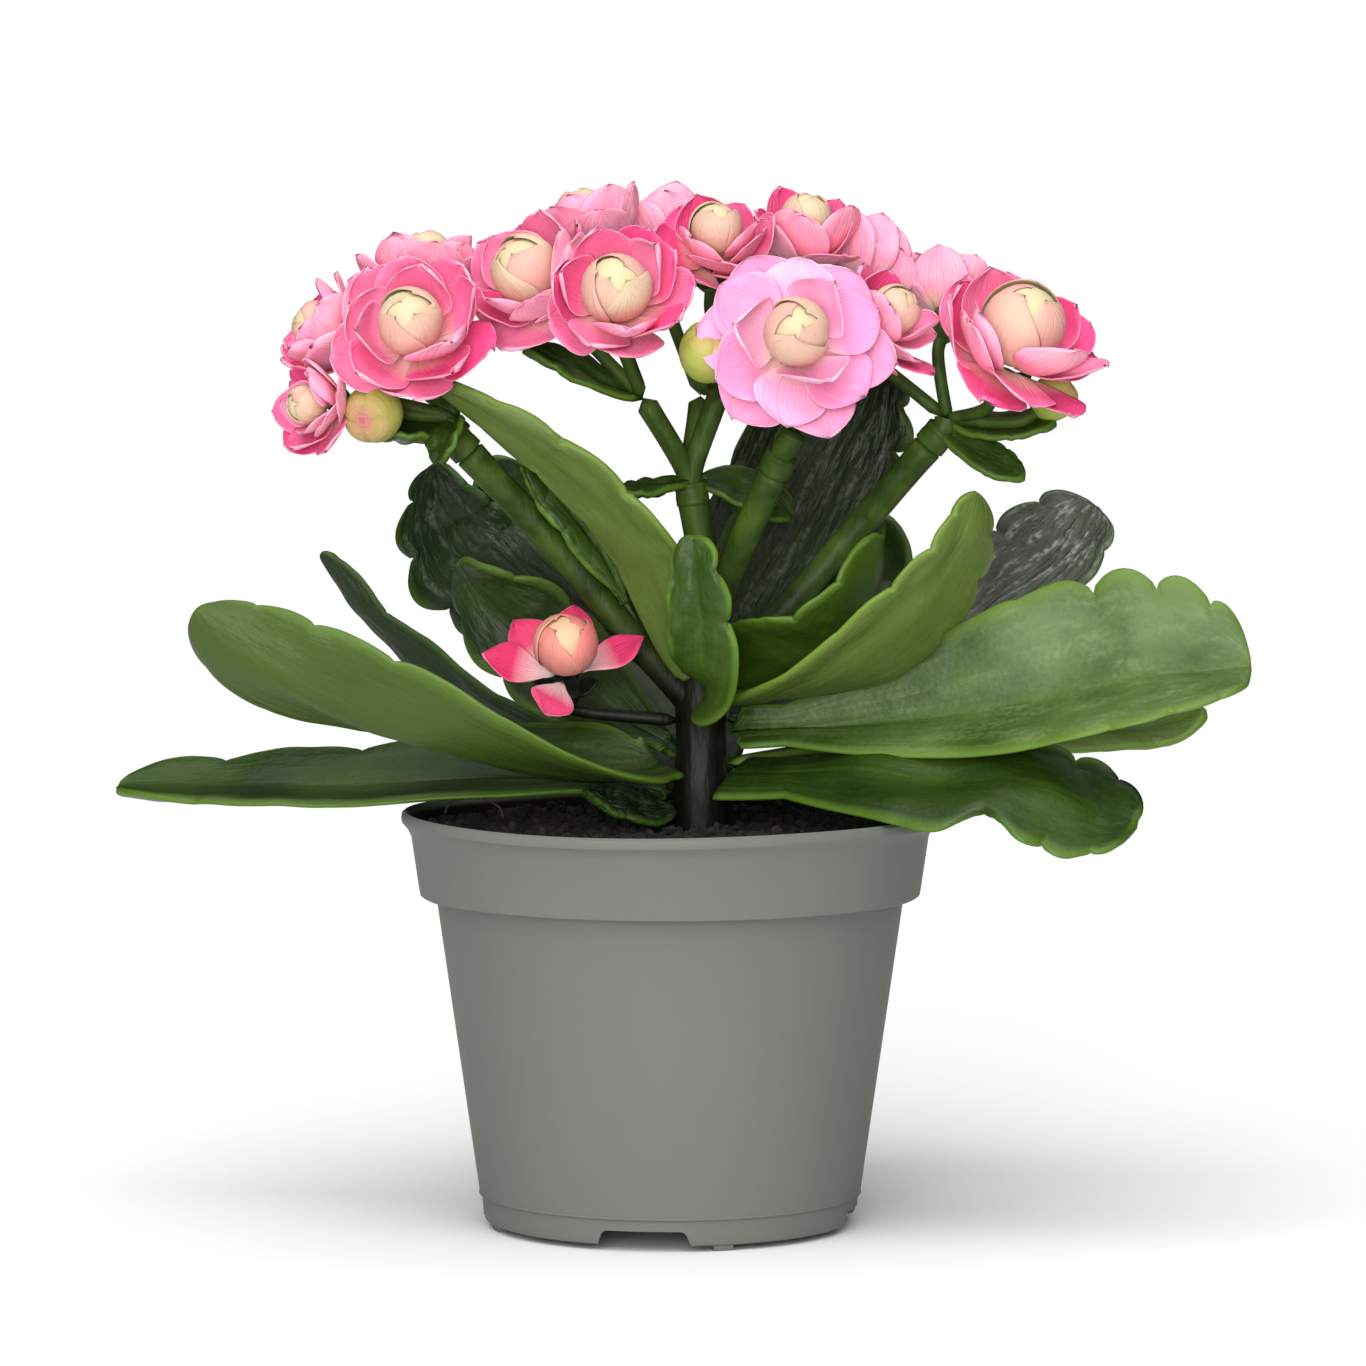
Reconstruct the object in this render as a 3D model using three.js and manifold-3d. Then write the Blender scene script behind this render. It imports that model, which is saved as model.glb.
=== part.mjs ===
// A small double-flowered kalanchoe in its plastic nursery pot.
// Lengths are millimetres and +Z is up. The origin is on the table under the pot's axis,
// the front of the plant is at -Y, and its left is at -X.
import * as THREE from "three";
import { mergeVertices } from "three/addons/utils/BufferGeometryUtils.js";
import Module from "manifold-3d";

// Driving dimensions of the pot
const lipRadius = 35;
const potHeight = 54.3;
const collarBottomRadius = 32.7;
const collarBottom = 44.2;
const bodyTopRadius = 30.4;
const bodyTop = 42.3;
const footRadius = 24.4;
const footLine = 4.3;
const potWall = 1.0;
const floorTop = 4.0;
const floorUnderside = 2.9;
const padHeight = 0.7;
const potSides = 24;

// Driving dimensions of the plant
const seatGap = 0.3;
const stemFoot = [4, 0, 32];
const trunkRadius = 4.2;
const soilTop = 52;
const leafThickness = 1.7;
const petalThickness = 0.62;

// Finishes
const finish = (color, roughness) =>
  new THREE.MeshStandardMaterial({ color, roughness, metalness: 0 });
const potPlastic = finish(0x6d7570, 0.5);
const peat = finish(0x1e1712, 0.95);
const stemGreen = finish(0x47702a, 0.45);
const leafGreen = finish(0x355f22, 0.4);
const petalPink = finish(0xe8598f, 0.55);
const heartCream = finish(0xf0dfb8, 0.5);

const part = new THREE.Group();
function addPiece(name, geometry, material) {
  const mesh = new THREE.Mesh(geometry, material);
  mesh.name = name;
  part.add(mesh);
}

// Joining and cutting closed geometries
const wasm = await Module();
wasm.setup();

function solidOf(geometry) {
  const bare = geometry.clone();
  bare.deleteAttribute("normal");
  bare.deleteAttribute("uv");
  const merged = mergeVertices(bare, 1e-4);
  return new wasm.Manifold(
    new wasm.Mesh({
      numProp: 3,
      vertProperties: merged.attributes.position.array,
      triVerts: new Uint32Array(merged.index.array),
    }),
  );
}

function geometryOf(solid) {
  const mesh = solid.getMesh();
  const geometry = new THREE.BufferGeometry();
  geometry.setAttribute("position", new THREE.BufferAttribute(mesh.vertProperties, 3));
  geometry.setIndex(new THREE.BufferAttribute(mesh.triVerts, 1));
  geometry.computeVertexNormals();
  return geometry;
}

// Joins geometries that grow from each other, and drops what the joint seals off
function fuse(geometries) {
  const joined = geometries.map(solidOf).reduce((sum, next) => sum.add(next));
  const bodies = joined.decompose();
  return bodies.reduce((big, next) => (next.volume() > big.volume() ? next : big));
}

function cut(solid, geometries) {
  return geometries.map(solidOf).reduce((rest, tool) => rest.subtract(tool), solid);
}

// Small helpers
const vector = (p) => new THREE.Vector3(...p);
const mix = (a, b, share) => a + (b - a) * share;
const radians = THREE.MathUtils.degToRad;

// A thin closed blade: place(along, across) gives its middle surface, with along from 0 to 1
// and across from -1 to 1, and thickness(along, across) its thickness there.
function bladeGeometry(rows, columns, place, thickness) {
  const sheet = new THREE.PlaneGeometry(2, 1, columns, rows);
  const flat = sheet.attributes.position;
  const count = flat.count;
  const points = new Float32Array(count * 6);
  const step = 0.01;
  for (let i = 0; i < count; i++) {
    const across = flat.getX(i);
    const along = flat.getY(i) + 0.5;
    const sideways = place(along, Math.min(1, across + step)).sub(
      place(along, Math.max(-1, across - step)),
    );
    const forward = place(Math.min(1, along + step), across).sub(
      place(Math.max(0, along - step), across),
    );
    const normal = sideways.cross(forward).normalize();
    const half = thickness(along, across) / 2;
    place(along, across).addScaledVector(normal, half).toArray(points, i * 3);
    place(along, across).addScaledVector(normal, -half).toArray(points, (i + count) * 3);
  }
  const faces = [...sheet.index.array];
  for (let i = 0; i < sheet.index.count; i += 3) {
    const [a, b, c] = sheet.index.array.slice(i, i + 3);
    faces.push(a + count, c + count, b + count);
  }
  // The sheet's first row of points is its tip end, so the rim runs round it from the root
  const width = columns + 1;
  const rim = [];
  for (let c = 0; c < columns; c++) rim.push(rows * width + c);
  for (let r = rows; r > 0; r--) rim.push(r * width + columns);
  for (let c = columns; c > 0; c--) rim.push(c);
  for (let r = 0; r < rows; r++) rim.push(r * width);
  rim.forEach((a, i) => {
    const b = rim[(i + 1) % rim.length];
    faces.push(a + count, b + count, b, a + count, b, a);
  });
  const geometry = new THREE.BufferGeometry();
  geometry.setAttribute("position", new THREE.BufferAttribute(points, 3));
  geometry.setIndex(faces);
  return geometry;
}

// A round stem along a smooth curve through the points
function stemGeometry(points, radius, steps, sides) {
  const outline = new THREE.Shape();
  for (let k = 0; k < sides; k++) {
    const turn = (2 * Math.PI * k) / sides;
    const corner = [radius * Math.cos(turn), radius * Math.sin(turn)];
    if (k === 0) outline.moveTo(...corner);
    else outline.lineTo(...corner);
  }
  outline.closePath();
  const route = new THREE.CatmullRomCurve3(points.map(vector));
  return new THREE.ExtrudeGeometry(outline, { steps, extrudePath: route });
}

// The pot: a thin-walled tapered tub with a collar, a rolled lip and a raised floor
const lathePoints = (profile) => profile.map(([r, z]) => new THREE.Vector2(r, z));
function turned(profile, sides) {
  const geometry = new THREE.LatheGeometry(lathePoints(profile), sides);
  geometry.rotateX(Math.PI / 2);
  return geometry;
}

const skirtInside = footRadius - 1.9;
const potProfile = [
  [0, floorUnderside],
  [skirtInside, floorUnderside],
  [skirtInside, padHeight],
  [footRadius - 0.4, padHeight],
  [footRadius, padHeight + 0.8],
  [footRadius + 0.2, footLine - 0.2],
  [footRadius + 0.6, footLine + 0.1],
  [bodyTopRadius, bodyTop],
  [collarBottomRadius - 0.4, bodyTop + 0.8],
  [collarBottomRadius, collarBottom],
  [lipRadius - 1.3, potHeight - 3.2],
  [lipRadius, potHeight - 1.1],
  [lipRadius - 0.5, potHeight],
  [lipRadius - 1.3, potHeight - 0.7],
  [collarBottomRadius - potWall, collarBottom],
  [bodyTopRadius - potWall, bodyTop],
  [footRadius - 1, floorTop],
  [0, floorTop],
];

function ringOfBoxes(count, firstTurn, size, radius, height) {
  return Array.from({ length: count }, (_, k) => {
    const box = new THREE.BoxGeometry(...size);
    box.translate(radius, 0, height);
    box.rotateZ(radians(firstTurn) + (2 * Math.PI * k) / count);
    return box;
  });
}

const notchCount = 4;
const notchTurn = -98;
const notchWidth = 12.5;
const notchTop = 2.7;
const notches = ringOfBoxes(notchCount, notchTurn, [8, notchWidth, notchTop * 2], footRadius, 0);
const padTurn = notchTurn + 25;
const padSize = [1.2, 2.6, padHeight + 0.3];
const pads = ringOfBoxes(notchCount, padTurn, padSize, footRadius - 1.3, padSize[2] / 2);
const drainRadius = 15;
const drains = Array.from({ length: 6 }, (_, k) => {
  const drain = new THREE.CylinderGeometry(2.2, 2.2, 6, 6);
  drain.rotateX(Math.PI / 2);
  drain.translate(drainRadius, 0, floorTop);
  drain.rotateZ(radians(notchTurn) + (2 * Math.PI * k) / 6);
  return drain;
});
const tub = cut(solidOf(turned(potProfile, potSides)), [...notches, ...drains]);
const pot = pads.map(solidOf).reduce((sum, pad) => sum.add(pad), tub);
addPiece("pot", geometryOf(pot), potPlastic);

// The peat: a plug that fills the pot, with a lumpy top and a hole for the trunk
const soilProfile = [
  [0, floorTop + seatGap],
  [footRadius - 2.2, floorTop + seatGap],
  [bodyTopRadius - potWall - 0.7, bodyTop + 0.2],
  [collarBottomRadius - potWall - 0.7, collarBottom + 0.4],
  [collarBottomRadius - 0.6, soilTop - 0.8],
  [22, soilTop],
  [12, soilTop],
  [0, soilTop],
];
const soil = turned(soilProfile, 16);
const soilPoints = soil.attributes.position;
for (let i = 0; i < soilPoints.count; i++) {
  const [x, y, z] = [soilPoints.getX(i), soilPoints.getY(i), soilPoints.getZ(i)];
  if (z < soilTop - 1) continue;
  const lumps = Math.sin(x * 0.55 + 1) * Math.cos(y * 0.6) + 0.6 * Math.sin(x * 1.3 + y * 1.7);
  const heap = 2.4 * Math.exp(-((x - 27) ** 2 + (y - 8) ** 2) / 60);
  soilPoints.setZ(i, z + 0.6 * lumps + heap);
}
const trunkHole = new THREE.CylinderGeometry(trunkRadius + seatGap, trunkRadius + seatGap, 40, 16);
trunkHole.rotateX(Math.PI / 2);
trunkHole.translate(stemFoot[0], stemFoot[1], stemFoot[2] - seatGap + 20);
addPiece("soil", geometryOf(cut(solidOf(soil), [trunkHole])), peat);

// The stem: the trunk with the flower stalks that branch from it
const stalkRadius = 1.9;
const branchRadius = 1.4;
const collarHeight = 1.4;
const stalkEnds = {
  left: { from: [4, 0, 67], via: [[-5.8, -2, 78], [-15.8, -4, 90]], to: [-26.3, -7, 101.5] },
  centre: { from: [4, 0, 74], via: [[4.4, 0, 84]], to: [3, 0, 94.5] },
  front: { from: [4.2, -0.5, 74], via: [[7.2, -4, 84]], to: [13.5, -10, 99] },
  far: { from: [4.5, 1, 72], via: [[13, 5, 78], [24, 6, 90]], to: [34, 2, 102] },
};
const trunk = new THREE.CylinderGeometry(3.1, trunkRadius, 44, 10);
trunk.rotateX(Math.PI / 2);
trunk.translate(stemFoot[0], stemFoot[1], stemFoot[2] + 22);
const stalks = Object.values(stalkEnds).map(({ from, via, to }) =>
  stemGeometry([from, ...via, to], stalkRadius, 5, 8),
);
const stalkRoutes = Object.fromEntries(
  Object.entries(stalkEnds).map(([name, { from, via, to }]) => [
    name,
    new THREE.CatmullRomCurve3([from, ...via, to].map(vector)),
  ]),
);

// A calyx: a green cup with four pointed lobes that holds the foot of a bloom
function calyxGeometry(size) {
  const cup = turned([[0, -5], [2.4, -2.4], [0, -2.1]], 8);
  const points = cup.attributes.position;
  for (let i = 0; i < points.count; i++) {
    const [x, y] = [points.getX(i), points.getY(i)];
    const isLobe = Math.hypot(x, y) > 2 && Math.cos(4 * Math.atan2(y, x)) > 0;
    if (isLobe) points.setXYZ(i, x * 1.9, y * 1.9, -1);
  }
  cup.scale(size, size, size);
  return cup;
}

// Turns a shape modelled along +Z so that it stands at a point and faces a direction
function seat(geometry, at, faces) {
  const turn = new THREE.Quaternion().setFromUnitVectors(
    new THREE.Vector3(0, 0, 1),
    vector(faces).normalize(),
  );
  geometry.applyQuaternion(turn);
  geometry.translate(...at);
  return geometry;
}

// The blooms: the middle of each one's heart, the way it faces, its reach from the axis to the
// outer petal tips, how far it has opened, the truss that carries it, and the petals of its
// outer, middle and inner layer where they aren't 5, 5 and 3. turn is the bearing in degrees of
// its first petal from the level line, turns that of each outer petal, swell how much wider
// than usual its heart is, and slim how narrow its petals are.
const fewer = [5, 0, 3];
const blooms = [
  {
    name: "left_front", middle: [-33, -16, 118.1], faces: [-0.1, -0.85, 0.5], reach: 12, open: 0.35,
    truss: "left", turn: -159, swell: 1.12,
  },
  {
    name: "left_top", middle: [-31.7, 0, 126], faces: [0, 0.3, 0.95], reach: 11, open: 0.3,
    truss: "left", petals: fewer,
  },
  {
    name: "left_back", middle: [-45.5, -5, 117.4], faces: [-0.85, -0.15, 0.5], reach: 10, open: 0.3,
    truss: "left", petals: fewer,
  },
  {
    name: "left_low", middle: [-46.5, -12, 107.4], faces: [-0.8, -0.55, 0.1], reach: 8, open: 0.2,
    truss: "left", petals: fewer,
  },
  {
    name: "centre_left", middle: [-18.5, -10, 124.6], faces: [-0.5, -0.6, 0.6], reach: 12,
    open: 0.4, truss: "centre", turn: -88, swell: 1.15,
  },
  {
    name: "centre_top_left", middle: [-11.5, 5, 131.5], faces: [-0.3, 0.2, 0.95], reach: 11,
    open: 0.6, truss: "centre", petals: fewer,
  },
  {
    name: "centre_front", middle: [-6.7, -18, 122.4], faces: [0, -0.85, 0.5], reach: 11, open: 0.15,
    truss: "centre", turn: -75, swell: 1.25,
  },
  {
    name: "centre_back", middle: [-0.5, 15, 130], faces: [0, 0.6, 0.8], reach: 11, open: 0.6,
    truss: "centre", petals: fewer,
  },
  {
    name: "centre_right", middle: [5.8, -8, 129.9], faces: [0.05, -0.5, 0.85], reach: 10.5,
    open: 0.6, truss: "centre", petals: fewer,
  },
  {
    name: "top_right", middle: [17.6, 1, 131.1], faces: [0.1, -0.2, 0.97], reach: 10.5, open: 0.55,
    truss: "centre", petals: fewer,
  },
  {
    name: "front_open", middle: [16, -24, 117], faces: [0.05, -0.93, 0.35], reach: 13.5, open: 1,
    truss: "front", petals: [6, 6, 3], turn: -68,
  },
  {
    name: "front_side", middle: [28.8, -10, 119.5], faces: [0.6, -0.35, 0.6], reach: 10, open: 0.5,
    truss: "front", petals: fewer,
  },
  {
    name: "right_top", middle: [27.6, 8, 127], faces: [0.4, 0.3, 0.85], reach: 10.5, open: 0.6,
    truss: "far", petals: fewer,
  },
  {
    name: "right_main", middle: [45.3, -9, 117.5], faces: [0.3, -0.5, 0.75], reach: 13, open: 0.75,
    truss: "far", turn: -77, swell: 1.35, petals: [6, 6, 3],
  },
  {
    name: "right_back", middle: [36.5, 8, 122.5], faces: [0.15, 0.55, 0.8], reach: 10, open: 0.5,
    truss: "far", petals: fewer,
  },
  {
    name: "low", middle: [-13.4, -11.5, 76.6], faces: [0, -0.72, 0.69], reach: 11.5, open: 0.7,
    truss: "stem", petals: [5, 0, 0], turns: [174, 133, 84, 24, -110], slim: 0.62, swell: 1.12,
  },
];
const bloomReach = 12;
const heartHeight = 6.4;
blooms.forEach((bloom) => {
  bloom.scale = bloom.reach / bloomReach;
  bloom.petals ??= [5, 5, 3];
  bloom.turn ??= 40 * bloom.middle[0];
  bloom.swell ??= 1;
  bloom.slim ??= 1;
  const foot = vector(bloom.middle);
  foot.addScaledVector(vector(bloom.faces).normalize(), -heartHeight * bloom.scale);
  bloom.at = foot.toArray();
  bloom.stalkEnd = 4 * bloom.scale;
});

const buds = [
  { at: [-37.5, -11.5, 106.5], faces: [-0.35, -0.9, -0.2], size: 0.95, truss: "left" },
  { at: [4.8, -14.5, 113.5], faces: [0.15, -0.65, 0.75], size: 0.95, truss: "centre" },
  { at: [49, -1.5, 107.5], faces: [0.8, 0.1, 0.6], size: 0.75, truss: "far" },
];

const budRadius = 4;
buds.forEach((bud) => {
  bud.stalkEnd = 2.4 * bud.size;
  bud.scale = bud.size * 0.3;
  bud.reach = bud.size * budRadius;
});

// Where a bloom's petals are in the plane of its axis, as [radius, height] of the elbow and of
// the tip, for a reach of 12: closed round the heart, cupped, and fully open
const petalLayers = [
  {
    root: 0, half: 4.5, cup: 0.12, swells: 0, closed: [[6.9, 0.6], [7.2, 9]],
    cupped: [[7.6, 0.5], [10.2, 7.4]], open: [[6.8, 0.2], [12.0, 0.8]],
  },
  {
    root: 0.75, half: 4.1, cup: 0.22, swells: 0.5, closed: [[6.3, 1.7], [6.7, 9.4]],
    cupped: [[6.7, 1.7], [8.4, 9.4]], open: [[6.4, 1.5], [10.8, 3.2]],
  },
  {
    root: 1.5, half: 4.2, cup: 0.42, swells: 1, closed: [[5.6, 2.5], [6.1, 9.4]],
    cupped: [[5.6, 2.5], [6.1, 9.4]], open: [[5.6, 2.4], [6.6, 8]],
  },
];
const sideGap = 0.35;
const petalFootRadius = 1.9;
const petalFootBottom = -1.75;
const petalFootTop = 2;

// An outline that is narrow at the root, widest at broad, and rounded or pointed at the tip
function outline(along, broad, rootShare, point, tipShare) {
  const power = (point * broad) / (1 - broad);
  const curve = (along / broad) ** power * ((1 - along) / (1 - broad)) ** point;
  return Math.max(curve, rootShare * (1 - along), tipShare * along);
}

// One petal's middle surface, closed by the share given and cut short to the share of length.
// Petals of a layer meet side by side, so none is wider than its share of the way round.
function petalPlace(bloom, layer, turn, closing, length) {
  const axis = vector(bloom.faces).normalize();
  const level = new THREE.Vector3(0, 0, 1).cross(axis).normalize();
  const out = level.applyAxisAngle(axis, turn);
  const foot = vector(bloom.at);
  const spot = ([radius, height]) =>
    foot
      .clone()
      .addScaledVector(out, radius * bloom.scale)
      .addScaledVector(axis, height * bloom.scale);
  const roomy = mix(1, bloom.swell, layer.swells);
  const at = [0, 1].map((k) =>
    [0, 1].map((j) =>
      mix(
        mix(layer.cupped[k][j], layer.open[k][j], bloom.open) * (j === 0 ? roomy : 1),
        layer.closed[k][j] * (j === 0 ? bloom.swell : 1),
        closing,
      ),
    ),
  );
  const rib = new THREE.QuadraticBezierCurve3(
    spot([petalFootRadius * 0.6, layer.root]),
    spot(at[0]),
    spot(at[1]),
  );
  const side = axis.clone().cross(out);
  const spread = Math.tan(Math.PI / bloom.petals[petalLayers.indexOf(layer)]);
  return (step, across) => {
    const along = step ** 0.8;
    const middle = rib.getPoint(along * length);
    const inner = rib.getTangent(along * length).cross(side);
    const fromAxis = middle.clone().sub(foot).dot(out);
    const room = (spread * fromAxis - sideGap) / (1 - spread * layer.cup * inner.dot(out));
    const broadest = layer.half * bloom.slim * bloom.scale;
    const width = Math.min(broadest * outline(along, 0.66, 0.25, 0.5, 0.32), room);
    return middle
      .addScaledVector(side, -across * width)
      .addScaledVector(inner, layer.cup * width * across * across);
  };
}

// A petal is bent clear: it closes, and then shortens, until it stays on its own bloom's side
// of the planes between it and the neighbouring blooms and buds. It is never less closed than
// the petals outside it.
const clearance = 0.75;
const middleOf = (bloom) =>
  vector(bloom.at).addScaledVector(vector(bloom.faces).normalize(), 4 * bloom.scale);
function clearPetal(bloom, layer, turn, leastClosing) {
  const middle = middleOf(bloom);
  const limits = [...blooms, ...buds]
    .filter((other) => other !== bloom)
    .map((other) => {
      const away = middleOf(other).sub(middle);
      const reachShare = bloom.reach / (bloom.reach + other.reach);
      return { away: away.clone().normalize(), limit: away.length() * reachShare - clearance };
    });
  const isClear = (place) =>
    [0.4, 0.6, 0.8, 1].every((along) =>
      [-1, -0.5, 0, 0.5, 1].every((across) => {
        const from = place(along, across).sub(middle);
        return limits.every(({ away, limit }) => from.dot(away) < limit);
      }),
    );
  let [closing, length] = [leastClosing, 1];
  let place = petalPlace(bloom, layer, turn, closing, length);
  while (!isClear(place) && length > 0.5) {
    if (closing < 1) closing = Math.min(1, closing + 0.1);
    else length -= 0.1;
    place = petalPlace(bloom, layer, turn, closing, length);
  }
  return { turn, closing, place };
}

function corollaGeometry(bloom) {
  const foot = turned(
    [
      [0, petalFootBottom],
      [petalFootRadius * 0.8, petalFootBottom],
      [petalFootRadius, petalFootTop],
      [0, petalFootTop],
    ],
    4,
  );
  foot.scale(bloom.scale, bloom.scale, bloom.scale);
  const pieces = [seat(foot, bloom.at, bloom.faces)];
  let outside = [];
  petalLayers.forEach((layer, rank) => {
    const count = bloom.petals[rank];
    const rows = bloom.petals === fewer || rank > 0 ? 2 : 3;
    const petals = Array.from({ length: count }, (_, k) => {
      const even = bloom.turn + (360 * (k + rank * 0.5)) / count;
      const turn = radians(rank === 0 && bloom.turns ? bloom.turns[k] : even);
      const near = outside.filter((petal) => Math.cos(petal.turn - turn) > 0.4);
      return clearPetal(bloom, layer, turn, Math.max(0, ...near.map((petal) => petal.closing)));
    });
    petals.forEach((petal) => {
      pieces.push(bladeGeometry(rows, 2, petal.place, () => petalThickness));
    });
    outside = petals;
  });
  return geometryOf(fuse(pieces));
}

// The heart of a double bloom: an egg of petals still wrapped, each lapping over the next
function heartGeometry(bloom) {
  const isHidden = bloom.petals === fewer;
  const egg = new THREE.SphereGeometry(1, isHidden ? 8 : 10, isHidden ? 4 : 5);
  egg.rotateX(Math.PI / 2);
  const points = egg.attributes.position;
  for (let i = 0; i < points.count; i++) {
    const [x, y, z] = [points.getX(i), points.getY(i), points.getZ(i)];
    const turn = (Math.atan2(y, x) / (2 * Math.PI) + 1) % 1;
    const lap = (turn * 5 + 0.001) % 1;
    const radius = 3.8 * bloom.swell * (1 + 0.1 * (1 - lap) * (1 - z * z));
    points.setXYZ(i, x * radius, y * radius, heartHeight + 0.1 + 3.9 * z);
  }
  egg.scale(bloom.scale, bloom.scale, bloom.scale);
  return seat(egg, bloom.at, bloom.faces);
}

blooms.forEach((bloom) => {
  addPiece("bloom_" + bloom.name, corollaGeometry(bloom), petalPink);
  addPiece("heart_" + bloom.name, heartGeometry(bloom), heartCream);
});

// A bud: a short green egg, pinched into folds at its nose
function budGeometry(bud) {
  const egg = new THREE.SphereGeometry(1, 8, 5);
  egg.rotateX(Math.PI / 2);
  const points = egg.attributes.position;
  for (let i = 0; i < points.count; i++) {
    const [x, y, z] = [points.getX(i), points.getY(i), points.getZ(i)];
    const pinch = z > 0 ? 1 + 0.12 * z * Math.cos(4 * Math.atan2(y, x)) : 1;
    points.setXYZ(i, x * budRadius * pinch, y * budRadius * pinch, 1.2 + 4.6 * z);
  }
  egg.scale(bud.size, bud.size, bud.size);
  return seat(egg, bud.at, bud.faces);
}

// Pedicels run from a truss's fork to the calyx of each bloom and to each bud
const trusses = {
  left: { base: "left", forks: [[-27, -8, 105.5]] },
  centre: { base: "centre", forks: [[-3.5, -3, 108], [4, 4, 108], [6.5, -1, 109]] },
  front: { base: "front", forks: [[16, -12, 104]] },
  far: { base: "far", forks: [[36, 1.5, 105]] },
};

function pedicelTo(head, fork) {
  const axis = vector(head.faces).normalize();
  const end = vector(head.at).addScaledVector(axis, -head.stalkEnd);
  const before = vector(head.at).addScaledVector(axis, -head.stalkEnd - 2.5);
  return stemGeometry([fork, before.toArray(), end.toArray()], 0.85, 2, 4);
}

const nearestFork = (head, forks) =>
  forks.reduce((best, fork) =>
    vector(fork).distanceTo(vector(head.at)) < vector(best).distanceTo(vector(head.at)) ? fork : best,
  );

// Leaves and bracts. A leaf starts on the trunk at base, its bearing in degrees and its height,
// or else at foot. rib holds the other three control points of its midrib, and face is the way
// its upper surface looks. half is the greatest width of the blade on the left and on the right
// of the rib, fold how far each side is lifted, twist the turn from base to tip, lobes how many
// teeth a margin has, and teeth the depth of the notches between them as a share of its width.
// root is the width at the base as a share of the greatest, where it isn't the usual one.
const trunkRadiusAt = (height) => mix(trunkRadius, 3.1, (height - stemFoot[2]) / 44);
const usualRoot = 0.2;

// The ways out of a leaf's face and sideways, at a place along it where it runs forward
function leafFrame(leaf, forward, along) {
  const up = vector(leaf.face).normalize();
  up.addScaledVector(forward, -up.dot(forward)).normalize();
  up.applyAxisAngle(forward, radians(leaf.twist * (along - 0.5)));
  return { up, side: forward.clone().cross(up) };
}

// Where a leaf starts: so far from the trunk that the corners of its root just stand clear
function leafStart(leaf) {
  if (leaf.foot) return vector(leaf.foot);
  const [bearing, height] = leaf.base;
  const outward = new THREE.Vector3(Math.cos(radians(bearing)), Math.sin(radians(bearing)), 0);
  const start = new THREE.Vector3(stemFoot[0], stemFoot[1], height);
  start.addScaledVector(outward, trunkRadiusAt(height));
  const { up, side } = leafFrame(leaf, vector(leaf.rib[0]).sub(start).normalize(), 0);
  const inward =
    Math.abs(up.dot(outward)) * leafThickness * 0.5 +
    Math.abs(side.dot(outward)) * leaf.root * Math.max(...leaf.half);
  return start.addScaledVector(outward, seatGap + inward);
}

function leafPlace(leaf) {
  const rib = new THREE.CubicBezierCurve3(leafStart(leaf), ...leaf.rib.map(vector));
  return (step, across) => {
    const along = step + 0.6 * step * (1 - step);
    const { up, side } = leafFrame(leaf, rib.getTangent(along), along);
    const k = across < 0 ? 0 : 1;
    const lobe = Math.abs(Math.sin(Math.PI * leaf.lobes * step)) ** 0.7;
    const toothed = Math.min(1, Math.max(0, (step - 0.3) * 6));
    const notch = leaf.teeth[k] * (1 - lobe) * toothed;
    const shape = outline(along, leaf.broad, leaf.root, leaf.point, 0.12);
    const reach = Math.abs(across) * leaf.half[k] * shape * (1 - notch);
    const fold = radians(leaf.fold[k]);
    return rib
      .getPoint(along)
      .addScaledVector(side, Math.sign(across) * reach * Math.cos(fold))
      .addScaledVector(up, reach * Math.sin(fold));
  };
}

const leafGeometry = (leaf) =>
  bladeGeometry(leaf.lobes * 2, 2, leafPlace(leaf), (along) => leafThickness * mix(1, 0.75, along));

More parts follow.
